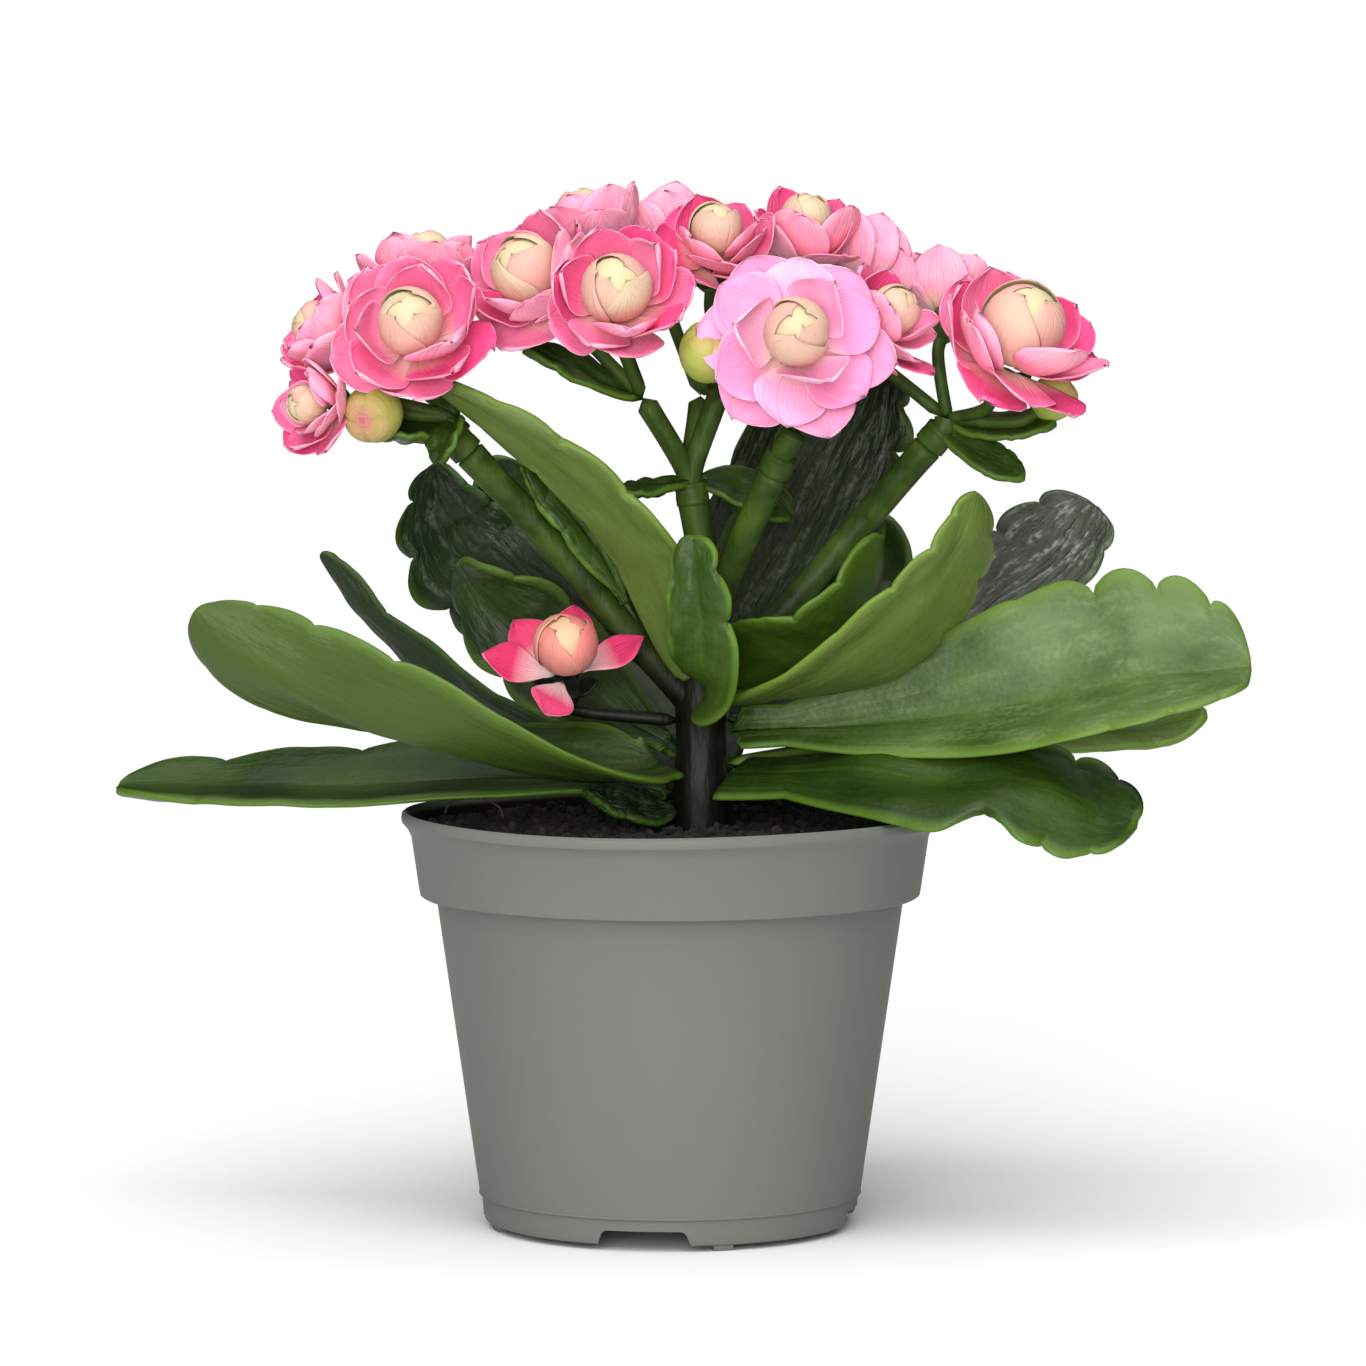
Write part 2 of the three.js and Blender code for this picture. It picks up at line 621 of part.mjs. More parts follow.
const leaves = [
  {
    name: "left_arm", base: [214, 60.5],
    rib: [[-5, -12, 56.5], [-47, -16, 64.5], [-60.5, -14, 81.5]], face: [-0.1, 0.4, 0.9],
    half: [11.5, 14], fold: [13, 37], twist: 110, broad: 0.55, point: 0.55, teeth: [0.05, 0.05],
    lobes: 6, root: 0.35,
  },
  {
    name: "left_low", base: [172, 55.8], rib: [[-14, 2.2, 60.7], [-41, 9, 55], [-73.5, 17, 55.5]],
    face: [0, -0.4, 0.9], half: [10.5, 9.5], fold: [12, 16], twist: 20, broad: 0.75, point: 0.45,
    teeth: [0.06, 0.16], lobes: 4,
  },
  {
    name: "left_back", base: [135, 71.5], rib: [[-12, 19, 81], [-31, 24, 79.5], [-31, 26, 98.5]],
    face: [-0.6, -0.7, 0.4], half: [10.5, 9], fold: [-1, 8], twist: -25, broad: 0.75, point: 0.6,
    teeth: [0.24, 0.1], lobes: 6,
  },
  {
    name: "left_mid", base: [165, 62.5], rib: [[-9, 3.5, 66.5], [-19, 8, 73], [-27.5, 8, 86.5]],
    face: [-0.7, -0.1, 0.7], half: [7, 9], fold: [9, 8], twist: 15, broad: 0.65, point: 0.5,
    teeth: [0.22, 0.12], lobes: 4,
  },
  {
    name: "arch_left", base: [-117, 71.5], rib: [[2, -9.4, 81], [0.5, -16, 95], [-30, -13, 110.5]],
    face: [0.3, 0.7, 0.6], half: [4.5, 7], fold: [-2, 6], twist: -5, broad: 0.55, point: 0.5,
    teeth: [0.2, 0.12], lobes: 6, root: 0.2,
  },
  {
    name: "front_mid", base: [-80, 68.5],
    rib: [[5.9, -13.4, 70], [3.2, -18.5, 80], [3, -17, 91]], face: [-0.3, -0.8, 0.4],
    half: [4.5, 5.5], fold: [8, 14], twist: 0, broad: 0.5, point: 0.35, teeth: [0.05, 0.22],
    lobes: 4, root: 0.45,
  },
  {
    name: "slender", foot: [-5.6, -4.6, 81.4], rib: [[-8.2, -5.6, 86.5], [-11, -5.5, 92], [-19, -6, 99.5]],
    face: [0.3, -0.9, 0.2], half: [3.3, 3], fold: [14, 11], twist: 20, broad: 0.65, point: 0.6,
    teeth: [0.1, 0.1], lobes: 4,
  },
  {
    name: "tall_right", base: [84, 70], rib: [[13.5, 14, 81], [21, 18.5, 97], [28.5, 16, 112]],
    face: [-0.1, -0.9, 0.3], half: [9.5, 11], fold: [5, 5], twist: -15, broad: 0.55, point: 0.45,
    teeth: [0.1, 0.22], lobes: 6,
  },
  {
    name: "tall_back", base: [107, 67.5], rib: [[3, 25, 72], [9, 33, 89], [15, 33, 106]],
    face: [-0.5, -0.8, 0.4], half: [6, 6], fold: [6, 8], twist: 0, broad: 0.6, point: 0.45,
    teeth: [0.12, 0.12], lobes: 3,
  },
  {
    name: "right_small", base: [0, 70], rib: [[14, -4.5, 75], [24, -10, 71], [26.5, -10, 91]],
    face: [-0.3, 0.7, 0.6], half: [7, 11], fold: [14, 4], twist: 50, broad: 0.45, point: 0.55,
    teeth: [0.12, 0.12], lobes: 4,
  },
  {
    name: "pale_right", base: [-40, 69],
    rib: [[17, -16.5, 69.5], [36.5, -18, 80.5], [39, -14, 96.5]], face: [-0.6, 0.6, 0.5],
    half: [10, 6.5], fold: [-2, 6], twist: -20, broad: 0.55, point: 0.55, teeth: [0.18, 0.12],
    lobes: 6,
  },
  {
    name: "dark_right", base: [22, 66], rib: [[29, 13, 66.5], [44, 22, 79.5], [57, 26, 92.5]],
    face: [-0.4, -0.7, 0.6], half: [8, 8], fold: [11, 13], twist: 25, broad: 0.65, point: 0.35,
    teeth: [0.14, 0.1], lobes: 6,
  },
  {
    name: "big_right", base: [-12, 64.5], rib: [[48, -9, 66], [54.5, -14, 74], [74.5, -13, 73.5]],
    face: [-0.5, -0.8, 0.4], half: [15, 14], fold: [20, 40], twist: -15, broad: 0.65, point: 0.7,
    teeth: [0.12, 0.05], lobes: 6, root: 0.25,
  },
  {
    name: "right_back_under", base: [40, 60], rib: [[35, 20, 64], [59.5, 28, 58], [72, 28, 65]],
    face: [0, 0, 1], half: [9, 10], fold: [6, 0], twist: 25, broad: 0.6, point: 0.5,
    teeth: [0.1, 0.1], lobes: 3,
  },
  {
    name: "low_right", base: [-38, 59], rib: [[24, -14, 60.5], [44, -21, 62], [59.5, -22, 55]],
    face: [0, -0.5, 0.9], half: [10.5, 12], fold: [0, -8], twist: 10, broad: 0.7, point: 0.4,
    teeth: [0.12, 0.1], lobes: 6, root: 0.5,
  },
  {
    name: "left_tip_back", base: [143, 58], rib: [[-15, 14, 59.5], [-36, 29, 67], [-47, 33, 86]],
    face: [0.8, 0.2, 0.6], half: [4.5, 4.5], fold: [35, 35], twist: 30, broad: 0.6, point: 0.5,
    teeth: [0.1, 0.1], lobes: 3,
  },
  {
    name: "rim_left", base: [212, 54.2], rib: [[-2, -4.5, 54.2], [-6, -6, 55.5], [-11, -7, 57.5]],
    face: [0.2, -0.5, 0.8], half: [4, 3.5], fold: [10, 10], twist: 0, broad: 0.6, point: 0.5,
    teeth: [0.1, 0.1], lobes: 4,
  },
  {
    name: "back_left", base: [120, 61], rib: [[-7, 19, 67.5], [-18.5, 34, 79], [-24, 31, 99]],
    face: [0.2, -0.8, 0.5], half: [9, 9], fold: [10, 10], twist: 0, broad: 0.6, point: 0.5,
    teeth: [0.15, 0.15], lobes: 3,
  },
  {
    name: "back_mid", base: [95, 56.5], rib: [[2, 18, 56], [0, 34, 64], [-4, 35, 84]],
    face: [0, -0.7, 0.7], half: [10, 10], fold: [8, 8], twist: 0, broad: 0.6, point: 0.5,
    teeth: [0.15, 0.15], lobes: 3,
  },
  {
    name: "back_right", base: [80, 64], rib: [[12, 20, 72], [25, 33, 74], [29, 34, 91]],
    face: [-0.2, -0.8, 0.5], half: [9, 9], fold: [10, 10], twist: 0, broad: 0.6, point: 0.5,
    teeth: [0.15, 0.15], lobes: 3,
  },
];
leaves.forEach((leaf) => {
  leaf.root ??= usualRoot;
  addPiece("leaf_" + leaf.name, leafGeometry(leaf), leafGreen);
});

// Bracts: the small leaves in pairs at the forks of the flower stalks
const bracts = [
  {
    truss: "left", foot: [-27, -7.8, 105.5],
    rib: [[-28, -10.5, 104.5], [-29, -12, 102.5], [-29.5, -12, 100]], face: [-0.6, -0.7, 0.2],
    half: [3, 3],
  },
  {
    truss: "left", foot: [-26, -7.5, 104], rib: [[-30, -6, 103], [-34, -8, 103], [-38, -10, 103.5]],
    face: [-0.2, -0.3, 0.9], half: [4, 4],
  },
  {
    truss: "centre", foot: [3, 0, 97], rib: [[-1, -3, 96.5], [-4, -4, 95.5], [-7, -5, 96]],
    face: [0, -0.4, 0.9], half: [2.5, 2.5],
  },
  {
    truss: "centre", foot: [3, 0, 97], rib: [[8, 1, 97], [13, 2, 94.5], [16, 2, 92]],
    face: [0.2, -0.7, 0.6], half: [3.5, 3.5],
  },
  {
    truss: "centre", foot: [-3.5, -3, 108], rib: [[-9, -2, 109], [-14, -3, 113], [-19, -4, 114.5]],
    face: [0, -0.5, 0.8], half: [3.5, 3.5],
  },
  {
    truss: "far", foot: [34.5, 2, 104], rib: [[39, -1, 102], [42, -2, 98], [46, -3, 98]],
    face: [0, -0.7, 0.7], half: [3, 3],
  },
  {
    truss: "far", foot: [36, 1.5, 105], rib: [[40, 1, 103], [45, -1, 103], [50, -2, 105]],
    face: [0, -0.5, 0.8], half: [3.5, 3.5],
  },
];
const bractForm = {
  fold: [18, 18], twist: 0, broad: 0.55, point: 0.6, lobes: 2, teeth: [0, 0], root: usualRoot,
};
const bractGeometry = (bract) => leafGeometry({ ...bract, ...bractForm });

function trussGeometry(name) {
  const { base, forks } = trusses[name];
  const stalk = stalkRoutes[base];
  const heading = stalk.getTangent(1);
  const collar = new THREE.CylinderGeometry(stalkRadius, stalkRadius + 0.3, collarHeight, 6);
  collar.rotateX(Math.PI / 2);
  collar.translate(0, 0, seatGap + collarHeight / 2);
  const foot = stalk.getPoint(1);
  const pieces = [seat(collar, foot.toArray(), heading.toArray())];
  const inside = foot.clone().addScaledVector(heading, seatGap + 0.4 * collarHeight).toArray();
  const above = foot.clone().addScaledVector(heading, seatGap + 1.6 * collarHeight).toArray();
  const branch = forks.length > 1 ? branchRadius : stalkRadius - 0.3;
  forks.forEach((fork) => pieces.push(stemGeometry([inside, above, fork], branch, 3, 5)));
  const heads = [...blooms, ...buds].filter((head) => head.truss === name);
  heads.forEach((head) => pieces.push(pedicelTo(head, nearestFork(head, forks))));
  blooms
    .filter((bloom) => bloom.truss === name)
    .forEach((bloom) => {
      pieces.push(seat(calyxGeometry(bloom.scale), bloom.at, bloom.faces));
    });
  buds.filter((bud) => bud.truss === name).forEach((bud) => pieces.push(budGeometry(bud)));
  bracts.filter((bract) => bract.truss === name).forEach((bract) => pieces.push(bractGeometry(bract)));
  return geometryOf(fuse(pieces));
}
Object.keys(trusses).forEach((name) => addPiece("truss_" + name, trussGeometry(name), stemGreen));

// The low bloom grows on its own short side shoot, so its calyx belongs to the stem
const lowBloom = blooms.find((bloom) => bloom.truss === "stem");
const stemPieces = [
  trunk,
  ...stalks,
  pedicelTo(lowBloom, [1.5, -2.5, 66]),
  seat(calyxGeometry(lowBloom.scale), lowBloom.at, lowBloom.faces),
];
addPiece("stem", geometryOf(fuse(stemPieces)), stemGreen);

export default part;
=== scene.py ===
# %% [markdown]
# # A double-flowered kalanchoe in its nursery pot
# The plant is a small succulent with thick lobed leaves. Its flower stalks carry a dome of
# double pink blooms, and it grows in a plain moulded pot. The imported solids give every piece
# its real place and size, so the first step loads them as a fixed frame.

# %% Load the frame
import math
import random

import bmesh
import bpy
from mathutils import Euler, Matrix, Quaternion, Vector, noise


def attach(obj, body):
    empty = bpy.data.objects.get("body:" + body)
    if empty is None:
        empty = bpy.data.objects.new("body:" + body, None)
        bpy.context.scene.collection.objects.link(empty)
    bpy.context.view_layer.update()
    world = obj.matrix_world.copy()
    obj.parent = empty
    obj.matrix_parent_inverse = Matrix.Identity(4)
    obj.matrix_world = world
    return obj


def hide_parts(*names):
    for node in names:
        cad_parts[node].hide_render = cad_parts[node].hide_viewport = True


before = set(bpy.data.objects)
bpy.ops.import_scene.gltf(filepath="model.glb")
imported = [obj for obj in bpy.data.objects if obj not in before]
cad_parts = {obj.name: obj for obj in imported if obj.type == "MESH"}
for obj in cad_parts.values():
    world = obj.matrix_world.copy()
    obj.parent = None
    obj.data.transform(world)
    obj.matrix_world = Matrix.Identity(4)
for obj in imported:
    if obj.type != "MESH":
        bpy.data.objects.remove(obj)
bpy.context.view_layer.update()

print("frame:", len(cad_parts), "nodes")

# %% [markdown]
# ## Shader expressions
# A finish is easier to read as arithmetic than as a web of nodes. `Field` wraps a socket, and
# an expression on it adds the Math nodes. `Wiring` is one node tree, and its `node` method adds
# any other node. `Finish` is the wiring of one material.

# %% Field
class Field:
    def __init__(self, socket):
        self.socket = socket

    def math(self, operation, first, second=None):
        tree = self.socket.id_data
        node = tree.nodes.new("ShaderNodeMath")
        node.operation = operation
        for plug, value in zip(node.inputs, (first, second)):
            join(tree, plug, value)
        return Field(node.outputs[0])

    def __add__(self, other):
        return self.math("ADD", self, other)

    def __sub__(self, other):
        return self.math("SUBTRACT", self, other)

    def __rsub__(self, other):
        return self.math("SUBTRACT", other, self)

    def __mul__(self, other):
        return self.math("MULTIPLY", self, other)

    def __abs__(self):
        return self.math("ABSOLUTE", self)

    def at_least(self, low):
        return self.math("MAXIMUM", self, low)

    def above(self, low, high):
        """0 below low and 1 above high, with an even slope between."""
        share = (self - low) * (1 / (high - low))
        return self.math("MINIMUM", share.at_least(0.0), 1.0)

    __radd__ = __add__
    __rmul__ = __mul__


def join(tree, plug, value):
    if isinstance(value, Field):
        tree.links.new(value.socket, plug)
    elif value is not None:
        plug.default_value = value


def rgb(red, green, blue):
    return (red, green, blue, 1.0)


print("fields ready")


# %% Wiring and Finish
class Wiring:
    def __init__(self, tree):
        self.tree = tree

    def node(self, kind, settings, sockets, output=0):
        node = self.tree.nodes.new(kind)
        for key, value in settings.items():
            setattr(node, key, value)
        for key, value in sockets.items():
            join(self.tree, node.inputs[key], value)
        return Field(node.outputs[output])

    def place(self, kind="Object"):
        return self.node("ShaderNodeTexCoord", {}, {}, kind)

    def part(self, vector, axis):
        return self.node("ShaderNodeSeparateXYZ", {}, {"Vector": vector}, axis)


class Finish(Wiring):
    def __init__(self, name, **settings):
        self.material = bpy.data.materials.new(name)
        self.material.use_nodes = True
        super().__init__(self.material.node_tree)
        self.shader = self.tree.nodes["Principled BSDF"]
        for key, value in settings.items():
            self.feed(key.replace("_", " "), value)

    def feed(self, plug, value):
        join(self.tree, self.shader.inputs[plug], value)

    def stretched(self, scale):
        return self.node("ShaderNodeMapping", {}, {"Vector": self.place(), "Scale": scale})

    def strips(self, along, across, tone):
        """Coordinates that run along a blade, apart from those of every other blade."""
        return self.node("ShaderNodeCombineXYZ", {}, {"X": along, "Y": across, "Z": tone * 50})

    def mark(self, name):
        return self.node("ShaderNodeAttribute", {"attribute_name": name}, {}, "Fac")

    def noise(self, scale, detail=3.0, where=None):
        sockets = {"Vector": where or self.place(), "Scale": scale, "Detail": detail}
        return self.node("ShaderNodeTexNoise", {}, sockets)

    def blend(self, first, second, share):
        sockets = {0: share, 6: first, 7: second}
        return self.node("ShaderNodeMix", {"data_type": "RGBA"}, sockets, 2)

    def bump(self, height, depth):
        sockets = {"Height": height, "Strength": 1.0, "Distance": depth}
        self.feed("Normal", self.node("ShaderNodeBump", {}, sockets))


print("finishes ready")

# %% [markdown]
# ## Camera, light and floor
# The photo was taken with a long lens, level with the blooms and tipped a little down. A long
# lens far away keeps the near leaves from looking larger than they are.

# %% Camera
MM = 0.001
photo_width = 1366
focal_pixels = 6557
sensor_width = 36
camera_place = Vector((1.69, -850, 138))
camera_tip = math.radians(4.52)

camera = bpy.data.objects.new("camera", bpy.data.cameras.new("camera"))
bpy.context.scene.collection.objects.link(camera)
camera.data.sensor_width = sensor_width
camera.data.lens = sensor_width * focal_pixels / photo_width
camera.location = camera_place * MM
camera.rotation_euler = (math.radians(90) - camera_tip, 0, 0)
bpy.context.scene.camera = camera
print("lens:", round(camera.data.lens, 1), "mm")

# %% [markdown]
# Product photos like this one are lit by very large soft boxes in a white room. A sun lamp with
# a wide disc lights the whole floor evenly, so the floor and the room meet without a line. The
# room looks white to the camera. It gives light from the front alone, and least from the sides,
# where dark flags give the pot its darker edges.

# %% Lights
suns = [
    # name, where the light comes from, strength, width of the disc in degrees
    ("key_light", (-0.1, -0.75, 0.9), 2.5, 70),
    ("front_light", (-0.12, -1, 0.1), 2.3, 30),
    ("top_light", (0.05, 0.1, 1), 1.5, 70),
]
for name, comes_from, strength, disc in suns:
    light = bpy.data.lights.new(name, "SUN")
    light.energy = strength
    light.angle = math.radians(disc)
    lamp = bpy.data.objects.new(name, light)
    lamp.rotation_euler = Vector(comes_from).to_track_quat("Z", "Y").to_euler()
    bpy.context.scene.collection.objects.link(lamp)
print("lights:", len(suns))

# %% Room
room_strength = 0.6
room_reach = 0.25

world = bpy.data.worlds.new("white_room")
world.use_nodes = True
bpy.context.scene.world = world
bpy.context.scene.view_settings.view_transform = "Standard"

room = Wiring(world.node_tree)
direction = room.place("Generated")
sideways = room.part(direction, 0)
backwards = room.part(direction, 1)
boxes = (1 - abs(sideways)) * room_strength * (room_reach - backwards).at_least(0.0)
to_camera = room.node("ShaderNodeLightPath", {}, {}, "Is Camera Ray")
background = room.tree.nodes["Background"]
join(room.tree, background.inputs["Color"], rgb(1, 1, 1))
join(room.tree, background.inputs["Strength"], to_camera.at_least(boxes))
print("room:", len(room.tree.nodes), "nodes")

# %% Floor
floor_half = 0.4
paper_white = 0.86


def object_from(name, form):
    """Turns a form into an object of the scene, and frees the form."""
    mesh = bpy.data.meshes.new(name)
    form.to_mesh(mesh)
    form.free()
    made = bpy.data.objects.new(name, mesh)
    bpy.context.scene.collection.objects.link(made)
    return made


floor_finish = Finish("floor_paper", Roughness=0.9)
floor_finish.feed("Base Color", rgb(paper_white, paper_white, paper_white))

floor_sheet = bmesh.new()
bmesh.ops.create_grid(floor_sheet, x_segments=1, y_segments=1, size=floor_half)
floor = object_from("floor", floor_sheet)
floor.data.materials.append(floor_finish.material)
print("floor laid")

# %% [markdown]
# ## Modelling helpers
# Leaves, petals and stems are all closed skins: a grid is bent round into a tube whose section
# and path come from a formula. Its two long edges meet and are merged, and its ends run to a
# point. The work is done in millimetres, and a finished piece is scaled to metres.

# %% Skins and pieces
def mix(first, second, share):
    return first + (second - first) * share


def limit(value, low=0.0, high=1.0):
    return max(low, min(high, value))


def round_end(step, root=0.02, tip=0.04):
    """How far an end is rounded off: 0 at either end, 1 away from them."""
    near = min(step / root, (1 - step) / tip, 1.0)
    return math.sqrt(max(0.0, 1 - (1 - near) ** 2))


marks = ("along", "across", "rim", "under", "tone")
same_spot = 1e-4


def new_form():
    form = bmesh.new()
    for mark in marks:
        form.verts.layers.float.new(mark)
    return form


def skin(form, rows, around, place):
    """Bends a grid into a closed tube. place(step, turn) gives a point and its marks."""
    made = bmesh.ops.create_grid(form, x_segments=rows, y_segments=around, size=0.5)["verts"]
    layers = [form.verts.layers.float[mark] for mark in marks]
    for point in made:
        spot, values = place(point.co.x + 0.5, point.co.y + 0.5)
        point.co = spot
        for layer, value in zip(layers, values):
            point[layer] = value
    bmesh.ops.remove_doubles(form, verts=made, dist=same_spot)


def finish_piece(name, form, finish, nodes, smooth=True):
    """Turns a form in millimetres into an object that rides on the plant."""
    bmesh.ops.recalc_face_normals(form, faces=form.faces)
    bmesh.ops.scale(form, vec=(MM, MM, MM), verts=form.verts)
    made = object_from(name, form)
    if smooth:
        made.data.shade_smooth()
    made.data.materials.append(finish.material)
    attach(made, "root")
    if nodes:
        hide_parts(*nodes)
    return made


def bezier(points, share):
    """A point and the way forward on the Bezier curve of the points."""
    level = [Vector(point) for point in points]
    while len(level) > 2:
        level = [a.lerp(b, share) for a, b in zip(level, level[1:])]
    return level[0].lerp(level[1], share), (level[1] - level[0]).normalized()


def seeded(*names):
    """A draw that is the same on every run, from the names of what it is for."""
    return random.Random("-".join(str(name) for name in names))


print("modelling helpers ready")

# %% [markdown]
# ## The pot
# The pot is one injection moulding with a collar, a flared lip and a foot ring that is cut away
# in four places. A profile is spun round the axis, and the cut-outs and drain holes are cut
# with one Boolean, because their edges are crisp on the real pot too.

# %% Pot profile
lip_radius = 35
pot_height = 54.3
collar_bottom_radius = 32.7
collar_bottom = 44.2
body_top_radius = 30.4
body_top = 42.3
foot_radius = 24.4
foot_line = 4.3
pot_wall = 1.0
floor_top = 4.0
floor_underside = 2.9
pad_height = 0.7
feet = 4

pot_profile = [
    (0, floor_underside),
    (foot_radius - 1.9, floor_underside),
    (foot_radius - 1.9, pad_height),
    (foot_radius - 0.7, pad_height),
    (foot_radius - 0.25, pad_height + 0.2),
    (foot_radius, pad_height + 0.8),
    (foot_radius + 0.2, foot_line - 0.3),
    (foot_radius + 0.5, foot_line - 0.15),
    (foot_radius + 0.58, foot_line),
    (foot_radius + 0.5, foot_line + 0.15),
    (body_top_radius, body_top + 0.4),
    (body_top_radius + 0.3, body_top + 0.75),
    (collar_bottom_radius - 0.6, body_top + 0.85),
    (collar_bottom_radius - 0.15, body_top + 1.1),
    (collar_bottom_radius, collar_bottom),
    (lip_radius - 1.3, pot_height - 3.2),
    (lip_radius - 0.8, pot_height - 2.2),
    (lip_radius - 0.1, pot_height - 1.4),
    (lip_radius, pot_height - 0.9),
    (lip_radius - 0.1, pot_height - 0.3),
    (lip_radius - 0.5, pot_height),
    (lip_radius - 0.9, pot_height - 0.3),
    (lip_radius - 1.5, pot_height - 1.4),
    (collar_bottom_radius - pot_wall, collar_bottom),
    (body_top_radius - pot_wall, body_top),
    (foot_radius - 1, floor_top + 0.4),
    (foot_radius - 1.4, floor_top),
    (0, floor_top),
]


def spin_profile(form, profile, steps):
    """Spins a profile of (radius, height) pairs once round Z into a closed skin."""
    line = [form.verts.new((radius, 0, height)) for radius, height in profile]
    edges = [form.edges.new(pair) for pair in zip(line, line[1:])]
    bmesh.ops.spin(form, geom=line + edges, cent=(0, 0, 0), axis=(0, 0, 1),
                   angle=2 * math.pi, steps=steps, use_merge=True)
    bmesh.ops.remove_doubles(form, verts=form.verts, dist=same_spot)


def ring_of_boxes(form, first_turn, size, radius, height, soften, taper=1):
    """A ring of rounded boxes, the first at a bearing in degrees, narrower at the top."""
    for k in range(feet):
        made = bmesh.ops.create_cube(form, size=1)["verts"]
        bmesh.ops.scale(form, vec=size, verts=made)
        for point in made:
            if point.co.z > 0:
                point.co.y *= taper
        edges = list({edge for point in made for edge in point.link_edges})
        bevelled = bmesh.ops.bevel(form, geom=edges, affect="EDGES", offset=soften, segments=2,
                                   profile=0.5, material=-1)
        made = bevelled["verts"]
        bmesh.ops.translate(form, vec=(radius, 0, height), verts=made)
        bearing = math.radians(first_turn + 360 / feet * k)
        bmesh.ops.rotate(form, matrix=Matrix.Rotation(bearing, 3, "Z"), verts=made)


print("pot profile:", len(pot_profile), "points")


# %% Pot piece
def merged_copy(obj):
    """The mesh that an object's modifiers give, with the modifiers gone."""
    seen = obj.evaluated_get(bpy.context.evaluated_depsgraph_get())
    mesh = bpy.data.meshes.new_from_object(seen)
    bpy.data.objects.remove(obj)
    return mesh


notch_turn = -98
pad_turn = notch_turn + 25
notch_size = (8, 14.5, 5.4)
notch_taper = 0.74
drain_ring_radius = 15
drain_radius = 2.2
drains = 6
lip_wave = 0.18
sharp_angle = 32

tub_form = bmesh.new()
spin_profile(tub_form, pot_profile, 160)
bmesh.ops.recalc_face_normals(tub_form, faces=tub_form.faces)
tub = object_from("tub", tub_form)

cut_form = bmesh.new()
ring_of_boxes(cut_form, notch_turn, notch_size, foot_radius, 0, 0.6, notch_taper)
for k in range(drains):
    bearing = math.radians(notch_turn + 360 / drains * k)
    drain = bmesh.ops.create_cone(cut_form, segments=32, radius1=drain_radius,
                                  radius2=drain_radius, depth=6, cap_ends=True)["verts"]
    spot = (math.cos(bearing) * drain_ring_radius, math.sin(bearing) * drain_ring_radius, floor_top)
    bmesh.ops.translate(cut_form, vec=spot, verts=drain)
cutter = object_from("cutter", cut_form)

carve = tub.modifiers.new("carve", "BOOLEAN")
carve.operation = "DIFFERENCE"
carve.solver = "EXACT"
carve.object = cutter
pot_mesh = merged_copy(tub)
bpy.data.objects.remove(cutter)

pot_form = new_form()
pot_form.from_mesh(pot_mesh)
bpy.data.meshes.remove(pot_mesh)
inside_mark = pot_form.verts.layers.float["under"]
for point in pot_form.verts:
    is_high = point.co.z > pot_height - 2.5
    wall = lip_radius - 1.4 if is_high else collar_bottom_radius - 0.5
    is_inside = point.co.z > collar_bottom - 0.1 and point.co.xy.length < wall
    point[inside_mark] = 1.0 if is_inside else 0.0
    if point.co.z > pot_height - 2:
        bearing = math.atan2(point.co.y, point.co.x)
        point.co.z -= lip_wave * (1 + math.sin(3 * bearing + 1))
ring_of_boxes(pot_form, pad_turn, (1.2, 2.6, pad_height + 0.3), foot_radius - 1.3,
              (pad_height + 0.3) / 2, 0.15)

pot_finish = Finish("pot_plastic", Roughness=0.5, Specular_IOR_Level=0.07)
pot_grey = pot_finish.blend(rgb(0.124, 0.132, 0.117), rgb(0.136, 0.145, 0.128),
                            pot_finish.noise(60))
# Painted shade: the inner face of the pot above the peat is coloured near-black for the shade
# inside the rim.
painted_inner_shade = pot_finish.mark("under").above(0.2, 0.8)
pot_finish.feed("Base Color", pot_finish.blend(pot_grey, rgb(0.012, 0.011, 0.009), painted_inner_shade))
pot_finish.bump(pot_finish.noise(2500, 2), 0.00003)
pot = finish_piece("pot_tub", pot_form, pot_finish, ["pot"])
pot.data.set_sharp_from_angle(angle=math.radians(sharp_angle))
print("pot:", len(pot.data.polygons), "faces")

# %% [markdown]
# ## The peat
# Peat is a plug of dark fibres and crumbs, a little heaped against the pot on the right. The
# plug is spun from the same profile as the solid and shaken by noise. Small icospheres,
# flattened and turned at random, are the crumbs on top.

# %% Soil piece
soil_top = 52
seat_gap = 0.3
heap_place = (27, 8)
heap_height = 2.4
heap_spread = 60


def soil_height(x, y):
    lumps = math.sin(x * 0.55 + 1) * math.cos(y * 0.6) + 0.6 * math.sin(x * 1.3 + y * 1.7)
    off = (x - heap_place[0]) ** 2 + (y - heap_place[1]) ** 2
    heap = heap_height * math.exp(-off / heap_spread)
    rough = noise.fractal(Vector((x, y, 3)) * 0.5, 1.0, 2.0, 3)
    return 0.6 * lumps + heap + 0.5 * rough - 0.3


soil_profile = [
    (0, floor_top + seat_gap),
    (foot_radius - 2.2, floor_top + seat_gap),
    (body_top_radius - pot_wall - 0.7, body_top + 0.2),
    (collar_bottom_radius - pot_wall - 0.7, collar_bottom + 0.4),
    (collar_bottom_radius - 0.6, soil_top - 0.8),
] + [(radius, soil_top) for radius in range(31, -1, -1)]
soil_form = new_form()
spin_profile(soil_form, soil_profile, 120)
for point in soil_form.verts:
    if point.co.z > soil_top - 1:
        point.co.z += soil_height(point.co.x, point.co.y)

